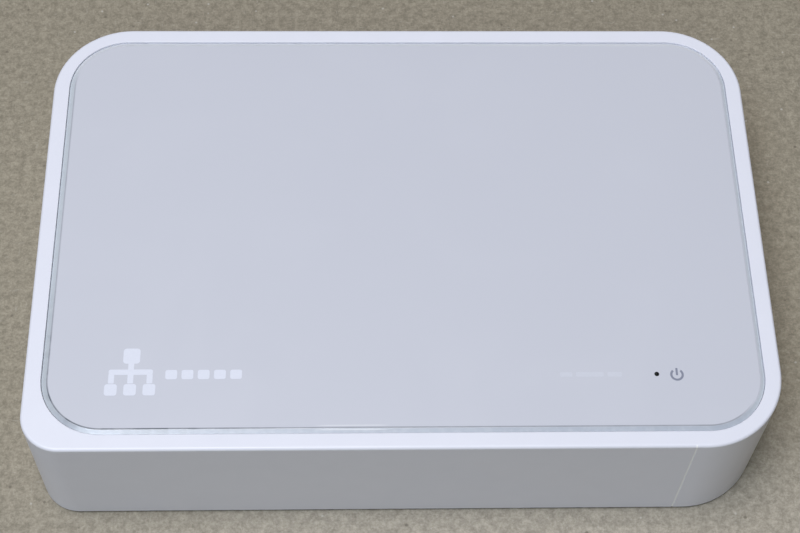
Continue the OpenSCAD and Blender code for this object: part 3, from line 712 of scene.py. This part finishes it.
# %% The cover's shell
def cover_stack():
    """Rings from the roof's underside, down the inner wall, round the foot, up the wall, over the rim, and down
    into the recess."""
    outer = outline(CASE_W, CASE_D, CASE_RADII)
    inner = outline(CASE_W - 2 * WALL, CASE_D - 2 * WALL, CASE_RADII - WALL)
    recess = outline(CASE_W - 2 * RIM_W, CASE_D - 2 * RIM_W, [RECESS_R] * 4)
    top = RIM_Z
    inside = carry(inner, [(0, ROOF_Z), (0, UNDER_Z + 0.15), (-0.15, UNDER_Z)])
    wall = carry(outer, np.concatenate([
        rounding((0.25, UNDER_Z), (0, UNDER_Z + 0.25), 3, convex=False),
        rounding((0, top - EDGE_ROUND), (EDGE_ROUND, top), 9),
    ]))
    lip = carry(recess, np.concatenate([
        rounding((-0.10, top), (0, top - 0.10), 3, convex=False),
        [(0, RECESS_Z)],
    ]))
    return np.concatenate([inside, wall, lip])


port_low = [np.array(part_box(f"port_{n}_housing")[0]) / MM for n in range(1, PORTS + 1)]
port_high = [np.array(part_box(f"port_{n}_housing")[1]) / MM for n in range(1, PORTS + 1)]
jack_low, jack_high = (np.array(v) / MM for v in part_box("jack_housing"))
BOARD_TOP = port_low[0][2]
GAP = 0.2


def window_boxes():
    """The two openings in the back wall, and the strip below them that the base's sill fills."""
    y0, y1 = BACK_Y - WALL - 1, BACK_Y + 1
    row_x0, row_x1 = port_low[-1][0] - GAP, port_high[0][0] + GAP
    return [
        box_solid([row_x0, y0, UNDER_Z - 1], [row_x1, y1, port_high[0][2] + GAP]),
        box_solid([jack_low[0] - GAP, y0, UNDER_Z - 1], [jack_high[0] + GAP, y1, jack_high[2] + GAP]),
        box_solid([row_x1 - 1, y0, UNDER_Z - 1], [jack_low[0] - GAP + 1, y1, BOARD_TOP]),
    ]


def hook_pockets():
    """Shallow pockets in the inner wall that the base's snap hooks latch into, two on each side, two in front."""
    z0, z1 = UNDER_Z + 5.0, UNDER_Z + 7.2
    half_w, half_d = CASE_W / 2 - WALL, CASE_D / 2 - WALL
    sides = [box_solid([min(s * (half_w - 1), s * (half_w + 0.8)), y - 3.3, z0],
                       [max(s * (half_w - 1), s * (half_w + 0.8)), y + 3.3, z1]) for s in (-1, 1) for y in (-12, 12)]
    front = [box_solid([x - 3.3, -half_d - 0.8, z0], [x + 3.3, -half_d + 1, z1]) for x in (-24, 24)]
    return sides + front


cover = mesh_piece("cover_shell", [closed_stack(cover_stack())], cover_white)
light_hole = moved(closed_stack(lathe([(1.25, 0), (1.25, 6)], 32)), [LIGHT_XY[0], LIGHT_XY[1], ROOF_Z - 2])
groove = box_solid([MOULD_LINE_X - 0.09, -CASE_D / 2 - 1, UNDER_Z - 1],
                   [MOULD_LINE_X + 0.09, -CASE_D / 2 + 0.06, RIM_Z - EDGE_ROUND - 0.1])
carve(cover, [*window_boxes(), light_hole, groove, *hook_pockets()])
cover.data.set_sharp_from_angle(angle=math.radians(40))
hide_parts("top_cover")
even_light(cover)
print("cover faces:", len(cover.data.polygons))


# %% [markdown]
# Under the roof the real cover carries a sleeve for the light pipe and two posts that hold the board down. They
# are turned shapes, so each is a profile spun about its own axis.

# %% Sleeve and posts inside the cover
def tube_solid(inner, outer, z0, z1, turns=40):
    """A tube: its ring runs down the bore, round the foot and up the outside, and closes on itself."""
    rings = lathe([(inner, z0), (outer, z0), (outer, z1), (inner, z1)], turns)
    rows, count = rings.shape[:2]
    faces = ring_faces(rows + 1, count) % (rows * count)
    return rings.reshape(-1, 3), faces.tolist()


sleeve = moved(tube_solid(1.25, 2.1, ROOF_Z - 6, ROOF_Z - 0.01), [LIGHT_XY[0], LIGHT_XY[1], 0])
posts = [moved(closed_stack(lathe([(1.2, BOARD_TOP + 0.1), (1.5, BOARD_TOP + 0.4), (1.5, ROOF_Z - 0.01)], 32)),
               [s * 44.5, -2, 0]) for s in (-1, 1)]
inner_posts = mesh_piece("cover_posts", [sleeve, *posts], cover_white)

# %% [markdown]
# ## The inlaid plate
#
# A clear plate 1.15 mm thick lies in the recess, its top a hair below the rim, with a narrow dark gap all round.
# Its edge is bevelled and the bevel's corners are slightly soft, which is what gives the bright glints along it.
# The profile is carried round as before, and a fine hole is drilled over the power light.

# %% Plate
PLATE_Z0, PLATE_Z1 = PLATE_LOW.z / MM, PLATE_HIGH.z / MM
PLATE_W, PLATE_D = (PLATE_HIGH.x - PLATE_LOW.x) / MM, (PLATE_HIGH.y - PLATE_LOW.y) / MM
BEVEL_W, BEVEL_H = BEVEL / MM, 0.25


def plate_stack():
    """Rings: the underside's edge, the upright edge, a soft corner, the bevel, and a second soft corner."""
    line = outline(PLATE_W + 0.04, PLATE_D + 0.04, [PLATE_RADIUS / MM + 0.02] * 4)
    slope = np.array([BEVEL_W, BEVEL_H])
    foot = np.array([0, PLATE_Z1 - BEVEL_H])
    soft = [foot + slope * t for t in (0.08, 0.92)]
    lower = [foot + (0, -0.08), foot + (0.012, -0.02), foot + (0.035, 0.012), soft[0]]
    upper = [soft[1], foot + slope * 0.97 + (0, 0.004), foot + slope + (0.03, -0.002), foot + slope + (0.10, 0)]
    return carry(line, [(0.05, PLATE_Z0), (0, PLATE_Z0 + 0.05), *lower, *upper])


plate = mesh_piece("inlaid_plate", [closed_stack(plate_stack())], plate_print, sharp=60)
pinhole = moved(closed_stack(lathe([(0.3, -3), (0.3, 3)], 24)), [LIGHT_XY[0], LIGHT_XY[1], PLATE_Z1])
carve(plate, [pinhole])
plate.data.set_sharp_from_angle(angle=math.radians(60))
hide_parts("cover_plate")
even_light(plate)
print("plate faces:", len(plate.data.polygons))

# %% [markdown]
# ## Printed marks
#
# Each printed mark is ink a hundredth of a millimetre thick. It is put together from flat shapes, bars with
# rounded corners and bands of a ring, and each shape is an outline with a height. Where two bars cross, one is one
# or two thousandths of a millimetre higher, so that their tops never lie in the same plane.

# %% Flat shapes with a height
INK_Z = PLATE_Z1 - 0.004
INK_T = 0.012


def bar(x0, y0, x1, y1, radius, lift=0.0):
    """A flat bar with rounded corners, as thick as ink, or thicker by lift where it crosses another."""
    points, _ = outline(x1 - x0, y1 - y0, [radius] * 4)
    flat = points + np.array([(x0 + x1) / 2, (y0 + y1) / 2])
    rings = np.stack([np.column_stack([flat, np.full(len(flat), z)]) for z in (INK_Z, INK_Z + INK_T + lift)])
    return closed_stack(rings)


def arc_band(centre, radius, width, start, end, steps=40):
    """Part of a ring between two angles, in degrees: its section is a small rectangle carried along the arc."""
    angle = np.radians(np.linspace(start, end, steps))
    spoke = np.stack([np.cos(angle), np.sin(angle)], -1)
    section = [(radius - width / 2, INK_Z), (radius + width / 2, INK_Z),
               (radius + width / 2, INK_Z + INK_T), (radius - width / 2, INK_Z + INK_T)]
    rings = np.stack([np.column_stack([spoke * r + centre, np.full(steps, z)]) for r, z in section], 1)
    return closed_stack(rings)


# %% [markdown]
# Three marks are printed on the plate. At the left is a plain sign for a network, one box that feeds three boxes,
# with a row of five blocks for five ports. At the right are three faint bars, and the usual sign for power beside
# the pinhole. They are thin inks, so each is a flat shape a hundredth of a millimetre high.

# %% The marks
power_at = LIGHT_XY + np.array([2.77, -0.1])
symbol = [
    arc_band(power_at, 0.78, 0.31, 90 + 40, 90 + 320),
    bar(power_at[0] - 0.15, power_at[1] - 0.1, power_at[0] + 0.15, power_at[1] + 1.0, 0.08),
]
power_symbol = mesh_piece("power_symbol", symbol, dark_ink)

# A node at the top, a trunk and a branch line, and three nodes below
mark_x, mark_y = -37.3, -23.4
stroke = 0.8
branch = [
    bar(mark_x - 1.15, mark_y + 1.3, mark_x + 1.15, mark_y + 3.6, 0.45),
    bar(mark_x - stroke / 2, mark_y - 1.7, mark_x + stroke / 2, mark_y + 1.4, 0.1, 0.002),
    bar(mark_x - 2.6 - stroke / 2, mark_y - 0.4, mark_x + 2.6 + stroke / 2, mark_y + 0.4, 0.3),
]
leaves = [bar(mark_x + k * 2.6 - 0.85, mark_y - 3.5, mark_x + k * 2.6 + 0.85, mark_y - 1.8, 0.35) for k in (-1, 0, 1)]
drops = [bar(mark_x + k * 2.6 - stroke / 2, mark_y - 1.7, mark_x + k * 2.6 + stroke / 2, mark_y - 0.3, 0.1, 0.001)
         for k in (-1, 1)]
port_blocks = [bar(-32.6 + k * 2.2, mark_y - 1.1, -31.0 + k * 2.2, mark_y + 0.3, 0.3) for k in range(PORTS)]
plain_mark = mesh_piece("plain_mark", branch + leaves + drops + port_blocks, pale_ink)

faint_bars = [bar(x0, LIGHT_XY[1] - 0.35, x1, LIGHT_XY[1] + 0.35, 0.2) for x0, x1 in
              ((21.2, 22.9), (23.4, 27.2), (27.7, 29.7))]
faint_mark = mesh_piece("faint_mark", faint_bars, faint_ink)
print("marks:", len(symbol) + len(branch + leaves + drops + port_blocks) + len(faint_bars), "shapes")

# %% [markdown]
# ## Mouldings with many flat faces
#
# The base, the port housings, the jack and the chip bodies are blocks with pockets. Their shape in the packed
# model is right, but its edges are perfectly sharp, and no moulding's are. A copy of each is cleaned (doubles
# merged, flat areas joined) and its edges get a small rounding from a Bevel modifier.

# %% Copies with soft edges


def soft_copy(node, name, material, radius_mm, body="case", sharp=35, segments=2):
    """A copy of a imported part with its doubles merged, flat areas joined, and a rounding on its edges."""
    shape = bmesh.new()
    shape.from_mesh(nodes[node].data)
    bmesh.ops.remove_doubles(shape, verts=shape.verts, dist=0.002 * MM)
    bmesh.ops.dissolve_limit(shape, angle_limit=math.radians(1), verts=shape.verts, edges=shape.edges)
    bmesh.ops.connect_verts_concave(shape, faces=shape.faces)
    mesh = bpy.data.meshes.new(name)
    shape.to_mesh(mesh)
    shape.free()
    mesh.shade_smooth()
    mesh.set_sharp_from_angle(angle=math.radians(sharp))
    mesh.materials.clear()
    mesh.materials.append(material)
    piece = bpy.data.objects.new(name, mesh)
    bpy.context.scene.collection.objects.link(piece)
    rounded = piece.modifiers.new("soft edges", "BEVEL")
    rounded.width = radius_mm * MM
    rounded.segments = segments
    rounded.limit_method = "ANGLE"
    rounded.angle_limit = math.radians(sharp)
    rounded.harden_normals = False
    rounded.use_clamp_overlap = True
    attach(piece, body)
    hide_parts(node)
    return even_light(piece)


soft_copy("base_tray", "base_shell", base_white, 0.12)
for n in range(1, PORTS + 1):
    soft_copy(f"port_{n}_housing", f"port_{n}_socket", jack_black, 0.10)
    soft_copy(f"port_{n}_light", f"port_{n}_lens", light_guide, 0.12)
    soft_copy(f"transformer_{n}", f"transformer_{n}_body", package_black, 0.15)
soft_copy("jack_housing", "jack_block", jack_black, 0.12)
soft_copy("rating_label", "blank_label", label_film, 0.01)
soft_copy("switch_chip", "switch_chip_body", package_black, 0.10)
soft_copy("capacitor_bases", "capacitor_feet", package_black, 0.15)
soft_copy("regulator", "regulator_body", package_black, 0.08)
soft_copy("clock_crystal", "clock_crystal_can", drawn_can, 0.15)
soft_copy("capacitor_cans", "capacitor_tops", drawn_can, 0.12)
soft_copy("power_coil", "power_coil_core", ferrite, 0.12)
soft_copy("board_screws", "board_screw_pair", zinc, 0.06)
print("soft copies made")

# %% [markdown]
# ## Contact wires
#
# Each port has eight gold wires. On the real socket each wire is one piece: it comes up through the board, runs
# forward along the roof, turns round in a tight bend and slopes back down into the plug space. The sloping half
# moves when a plug lifts it, so it rides on the port's own moving body, and the rest stays with the case. Every
# wire is a circle carried along a line that lies in one upright plane.

# %% Tubes along a line in an upright plane
def upright_tubes(xs, line, radius, around=10):
    """Tubes at several x along one line of (y, z): each point gets a circle of x and of the line's normal. The
    circle shrinks over the last point at each end, so the ends are domed."""
    line = np.asarray(line, float)
    along = np.gradient(line, axis=0)
    along /= np.linalg.norm(along, axis=1, keepdims=True)
    normal = np.stack([-along[:, 1], along[:, 0]], -1)
    angle = np.linspace(0, 2 * math.pi, around, endpoint=False)
    size = np.full(len(line), radius)
    size[[0, -1]] = radius * 0.55
    rings = np.zeros((len(line), around, 3))
    rings[..., 0] = size[:, None] * np.cos(angle)
    rings[..., 1:] = line[:, None] + (size[:, None] * np.sin(angle))[..., None] * normal[:, None]
    return [moved(closed_stack(rings), [x, 0, 0]) for x in xs]


def arc_line(centre, radius, start, end, steps):
    """Points of an arc in the (y, z) plane between two angles in degrees."""
    angle = np.radians(np.linspace(start, end, steps))
    return np.stack([centre[0] + radius * np.cos(angle), centre[1] + radius * np.sin(angle)], -1)


# %% [markdown]
# Each port has eight wires. The springs slope down into the plug's space and ride the hinge of their port. The
# leads bend from the housing down through the board. Both are the same line in an upright plane, swept by a
# round section and repeated across the port.

# %% Wires of the five ports
WIRES = 8
WIRE_R = 0.23
WIRE_PITCH = 1.02
joints = {j["name"]: j for j in frame["joints"]}
lead_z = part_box("port_1_leads")[1].z / MM - WIRE_R
tail_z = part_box("port_1_leads")[0].z / MM
lead_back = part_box("port_1_leads")[0].y / MM + WIRE_R
ROW_STEP = 1.8

for n in range(1, PORTS + 1):
    pivot = np.array(joints[f"port_{n}_contact_lift"]["pos_m"]) / MM
    wire_x = pivot[0] + (np.arange(WIRES) - (WIRES - 1) / 2) * WIRE_PITCH
    turn_r = (lead_z - pivot[2]) / 2
    fixed = []
    for row in (0, 1):
        back = lead_back + ROW_STEP * row
        line = np.concatenate([
            [(back, tail_z), (back, tail_z + 0.3), (back, lead_z - 0.7)],
            arc_line((back + 0.6, lead_z - 0.6), 0.6, 180, 90, 7),
            [(pivot[1] - 0.4, lead_z)],
            arc_line((pivot[1], pivot[2] + turn_r), turn_r, 90, -80, 10),
        ])
        fixed += upright_tubes(wire_x[row::2], line, WIRE_R)
    leads = mesh_piece(f"port_{n}_wire_tails", fixed, gold)
    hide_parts(f"port_{n}_leads")
    slope = math.radians(14)
    reach = np.linspace(0.05, 9.0, 14)
    dip = 0.16 * np.sin(np.clip(reach / 9.0, 0, 1) * math.pi)
    spring_line = np.stack([pivot[1] - reach * math.cos(slope), pivot[2] - reach * math.sin(slope) - dip], -1)
    springs = mesh_piece(f"port_{n}_wire_springs", upright_tubes(wire_x, spring_line, WIRE_R), gold,
                         body=f"port_{n}_contacts")
    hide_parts(f"port_{n}_springs")
print("wires:", 2 * WIRES * PORTS, "halves")

# %% [markdown]
# ## Power jack
#
# The plug's hole goes over a nickel pin with a domed end, and a bent leaf presses on the barrel from below. The
# leaf rides on its own moving body. It is a thin strip carried along its bent line.

# %% Pin and leaf
pin_low, pin_high = (np.array(v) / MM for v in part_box("jack_pin"))
pin_x, pin_z = (pin_low[0] + pin_high[0]) / 2, (pin_low[2] + pin_high[2]) / 2
PIN_R = 1.0


def along_y(solid, x, y_end, z):
    """A solid turned about Z, laid over so that its Z axis runs along +Y, ending at y_end."""
    points = solid[0]
    laid = np.column_stack([points[:, 0], points[:, 2], -points[:, 1]])
    return laid + np.array([x, y_end, z]), solid[1]


pin_len = pin_high[1] - pin_low[1]
turn = np.linspace(0, math.pi / 2, 10)
dome = np.stack([PIN_R * np.cos(turn), -PIN_R + PIN_R * np.sin(turn)], -1)
pin_profile = [(0.02, -pin_len), (1.4, -pin_len), (1.5, -pin_len + 0.1), (1.5, -pin_len + 0.8),
               (0.8, -pin_len + 0.85), (0.8, -8.2), (PIN_R, -8.15), *dome.tolist()]
pin = mesh_piece("jack_centre_pin", [along_y(closed_stack(lathe(pin_profile)), pin_x, pin_high[1], pin_z)], nickel)
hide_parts("jack_pin")

leaf_low, leaf_high = (np.array(v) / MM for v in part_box("jack_spring"))
leaf_joint = np.array(joints["jack_contact_give"]["pos_m"]) / MM
LEAF_T = 0.3


def leaf_solid():
    """A strip carried along a smooth line of (y, z): up from the root, over a crest, and down at the free end."""
    y = np.linspace(leaf_low[1], leaf_high[1], 26)
    share = (y - leaf_low[1]) / (leaf_high[1] - leaf_low[1])
    rise = leaf_high[2] - leaf_joint[2]
    crest = 0.78
    up = np.sin(np.clip(share / crest, 0, 1) * math.pi / 2) ** 1.4
    down = np.clip((share - crest) / (1 - crest), 0, 1) ** 1.8
    z = leaf_joint[2] + rise * up - 0.8 * down
    half = (leaf_high[0] - leaf_low[0]) / 2
    x = (leaf_high[0] + leaf_low[0]) / 2
    section = [(-half, 0), (half, 0), (half, -LEAF_T), (-half, -LEAF_T)]
    rings = np.stack([np.column_stack([np.full(len(y), x + dx), y, z + dz]) for dx, dz in section], 1)
    return closed_stack(rings)


leaf = mesh_piece("jack_leaf", [leaf_solid()], nickel, body="jack_contact")
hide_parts("jack_spring")

# %% [markdown]
# ## Feet and light pipe
#
# Four round rubber pads keep the case 0.4 mm off the table. Their rims are rounded and their faces are dished a
# little. The light pipe is a clear rod with a collar, turned in one go.

# %% Turned pieces
feet_low, feet_high = (np.array(v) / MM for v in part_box("rubber_feet"))
FOOT_R = 4.5
foot_top = feet_high[2]
foot_profile = [(0.02, 0.05), (2.6, 0.02), (3.9, 0), (4.25, 0.04), (4.42, 0.14), (FOOT_R, 0.32), (FOOT_R, foot_top),
                (0.02, foot_top)]
pads = [moved(closed_stack(lathe(foot_profile, 72)), [x, y, 0])
        for x in (feet_low[0] + FOOT_R, feet_high[0] - FOOT_R) for y in (feet_low[1] + FOOT_R, feet_high[1] - FOOT_R)]
foot_pads = mesh_piece("foot_pads", pads, rubber_grey)
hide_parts("rubber_feet")

pipe_profile = [(0.02, pipe_low[2]), (1.75, pipe_low[2]), (1.9, pipe_low[2] + 0.15), (1.9, pipe_low[2] + 0.85),
                (1.75, pipe_low[2] + 1.0), (1.1, pipe_low[2] + 1.05), (1.1, pipe_high[2] - 0.12),
                (1.0, pipe_high[2]), (0.02, pipe_high[2])]
pipe = mesh_piece("light_rod", [moved(closed_stack(lathe(pipe_profile, 32)), [LIGHT_XY[0], LIGHT_XY[1], 0])],
                  light_guide)
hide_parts("light_pipe")

# %% [markdown]
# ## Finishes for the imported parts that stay
#
# Legs, tails, film and the small chip parts are seen only inside the case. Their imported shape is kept, and they
# get their finish through their own material slot.

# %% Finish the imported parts
KEPT = {
    "adhesive_film": glue_film, "circuit_board": board_green, "jack_tails": tinned, "switch_chip_legs": tinned,
    "transformer_legs": tinned, "coil_clips": tinned, "regulator_legs": tinned, "power_light": phosphor,
    "chip_resistors": resistor_black, "chip_capacitors": capacitor_tan,
}
for name, material in KEPT.items():
    for slot in nodes[name].material_slots:
        slot.material = material
left_bare = [name for name, node in nodes.items() if not node.hide_render and name not in KEPT]
print("packed parts shown:", len(KEPT), "without a finish:", left_bare)

# %% [markdown]
# ## Floor, light and camera
#
# The object stands on a pale, slightly rough board. Four soft panels light it. The largest hangs overhead, a
# cool one stands at the front left like a window, one fills the front, and a weak one the back. The rim comes
# out bright, the front wall lies in open shade, and the wide corner at the front right falls off into the dark.

# %% Floor
def make_floor():
    """Pale grey-brown board: soft clouds, a painted pool of light in front of the case, short paper fibres lying two
    ways, and a few light and dark specks.
    """
    material, tree, shader, place = new_material("floor board", Specular_IOR_Level=0.2)
    pulp = noise(tree, place, 1.3, detail=8.0, roughness=0.82)
    clouds = noise(tree, place, 12, detail=3.0)
    base = blend_colour(tree, fade(tree, pulp, 0.32, 0.68), (0.240, 0.213, 0.165, 1), (0.455, 0.405, 0.322, 1))
    base = blend_colour(tree, calc(tree, "MULTIPLY", clouds, 0.35), base, (0.315, 0.278, 0.208, 1))
    # Painted light: a brighter, cooler pool on the board in front of the case
    light_pool_place = add_node(tree, "Mapping", {"Vector": place, "Location": (-0.0085, 0.05, 0),
                                      "Scale": (0.42, 1, 1)}).outputs[0]
    reach = add_node(tree, "VectorMath", {0: light_pool_place}, operation="LENGTH").outputs["Value"]
    near = fade(tree, reach, 46 * MM, 14 * MM, 0.0, 0.7)
    base = blend_colour(tree, near, base, (1.35, 1.38, 1.50, 1), how="MULTIPLY")
    grit = fade(tree, noise(tree, place, 0.42, detail=2.0, roughness=0.7), 0.36, 0.64)
    base = blend_colour(tree, calc(tree, "MULTIPLY", grit, 0.55), base, (0.70, 0.70, 0.68, 1), how="MULTIPLY")
    along = noise(tree, place, 0.5, detail=3.0, stretch=(0.25, 1, 1))
    across = noise(tree, place, 0.5, detail=3.0, stretch=(1, 0.2, 1))
    fibres = calc(tree, "MAXIMUM", fade(tree, along, 0.62, 0.74), fade(tree, across, 0.64, 0.76))
    base = blend_colour(tree, calc(tree, "MULTIPLY", fibres, 0.35), base, (0.52, 0.48, 0.41, 1))
    for spacing, size, kept, colour in ((2.6, 0.34, 0.22, (0.13, 0.11, 0.085, 1)),
                                        (2.0, 0.26, 0.3, (0.62, 0.59, 0.54, 1))):
        speck = use_group(tree, "dust", {"Place": place, "Spacing mm": spacing, "Speck mm": size,
                                         "Kept": kept}).outputs[0]
        base = blend_colour(tree, calc(tree, "MULTIPLY", speck, 0.6), base, colour)
    tree.links.new(base, shader.inputs["Base Color"])
    tree.links.new(calc(tree, "ADD", calc(tree, "MULTIPLY", pulp, 0.2), 0.68), shader.inputs["Roughness"])
    set_bump(tree, shader, calc(tree, "ADD", pulp, calc(tree, "MULTIPLY", fibres, 0.3)), 0.12)
    half = 1.6
    mesh = bpy.data.meshes.new("floor")
    mesh.from_pydata([(-half, -half, 0), (half, -half, 0), (half, half, 0), (-half, half, 0)], [], [(0, 1, 2, 3)])
    mesh.materials.append(material)
    floor = bpy.data.objects.new("floor", mesh)
    bpy.context.scene.collection.objects.link(floor)


make_floor()


# %% [markdown]
# A large panel overhead gives the even grey of the plate and the pale rim. A cooler one, like a window, stands to
# the left and in front, and a third lights the front wall. A weak one behind fills the back. All of them are wide,
# so the shadows stay soft. The surround adds almost no light, but past the edge of the table it is seen as a plain
# grey wall.

# %% Lights
def panel_light(name, place, target, size, watts, colour=(1, 1, 1)):
    """A square soft panel at place, facing target."""
    data = bpy.data.lights.new(name, "AREA")
    data.shape, data.size = "SQUARE", size
    data.energy, data.color = watts, colour
    panel = bpy.data.objects.new(name, data)
    bpy.context.scene.collection.objects.link(panel)
    panel.location = place
    facing = panel.location - Vector(target)
    panel.rotation_euler = facing.to_track_quat("Z", "Y").to_euler()
    return panel


middle = (0, 0, 0.011)
panel_light("ceiling", (-0.13, -0.04, 0.9), middle, 0.4, 4.45, (1.03, 1.0, 1.0))
panel_light("window", (-0.27, -0.3, 0.85), middle, 0.3, 2.6, (0.88, 1.0, 1.16))
panel_light("front", (-0.12, -0.6, 0.7), middle, 0.35, 1.6, (0.91, 1.0, 0.99))
panel_light("behind", (0.3, 0.8, 0.4), middle, 0.5, 0.7, (1.0, 0.98, 0.95))
world = bpy.data.worlds.new("surround")
bpy.context.scene.world = world
world.use_nodes = True
world.node_tree.nodes["Background"].inputs["Color"].default_value = (0.95, 0.95, 0.93, 1)
in_view = add_node(world.node_tree, "LightPath").outputs["Is Camera Ray"]
brightness = calc(world.node_tree, "ADD", calc(world.node_tree, "MULTIPLY", in_view, 0.27), 0.004)
world.node_tree.links.new(brightness, world.node_tree.nodes["Background"].inputs["Strength"])
bpy.context.scene.view_settings.view_transform = "Standard"


# %% [markdown]
# The camera looks down at about sixty degrees from a quarter of a metre away, a little from the left and slightly
# rolled. Its position follows from the two angles and the distance: the target plus the distance times the
# direction (sin a cos e, -cos a cos e, sin e) for the angle a round the object and the height e.

# %% Camera
def make_camera():
    """A long lens above the front edge. Its axes come from the angle round, the height and a small roll: back is
    (sin a cos e, -cos a cos e, sin e), right is (cos a, sin a, 0), up is back x right, then both turn by the
    roll."""
    azimuth, elevation, roll = (math.radians(v) for v in (-3.178, 60.035, 2.55))
    distance, target = 251.36 * MM, np.array([-0.048, -0.664, 11.0]) * MM
    back = np.array([math.sin(azimuth) * math.cos(elevation), -math.cos(azimuth) * math.cos(elevation),
                     math.sin(elevation)])
    right = np.array([math.cos(azimuth), math.sin(azimuth), 0.0])
    up = np.cross(back, right)
    turned_right = math.cos(roll) * right + math.sin(roll) * up
    turned_up = -math.sin(roll) * right + math.cos(roll) * up
    data = bpy.data.cameras.new("camera")
    data.lens, data.sensor_width = 75.94, 36.0
    data.clip_start, data.clip_end = 0.01, 10
    camera = bpy.data.objects.new("camera", data)
    bpy.context.scene.collection.objects.link(camera)
    matrix = np.eye(4)
    matrix[:3, :3] = np.column_stack([turned_right, turned_up, back])
    matrix[:3, 3] = target + back * distance
    camera.matrix_world = Matrix(matrix.tolist())
    bpy.context.scene.camera = camera


make_camera()
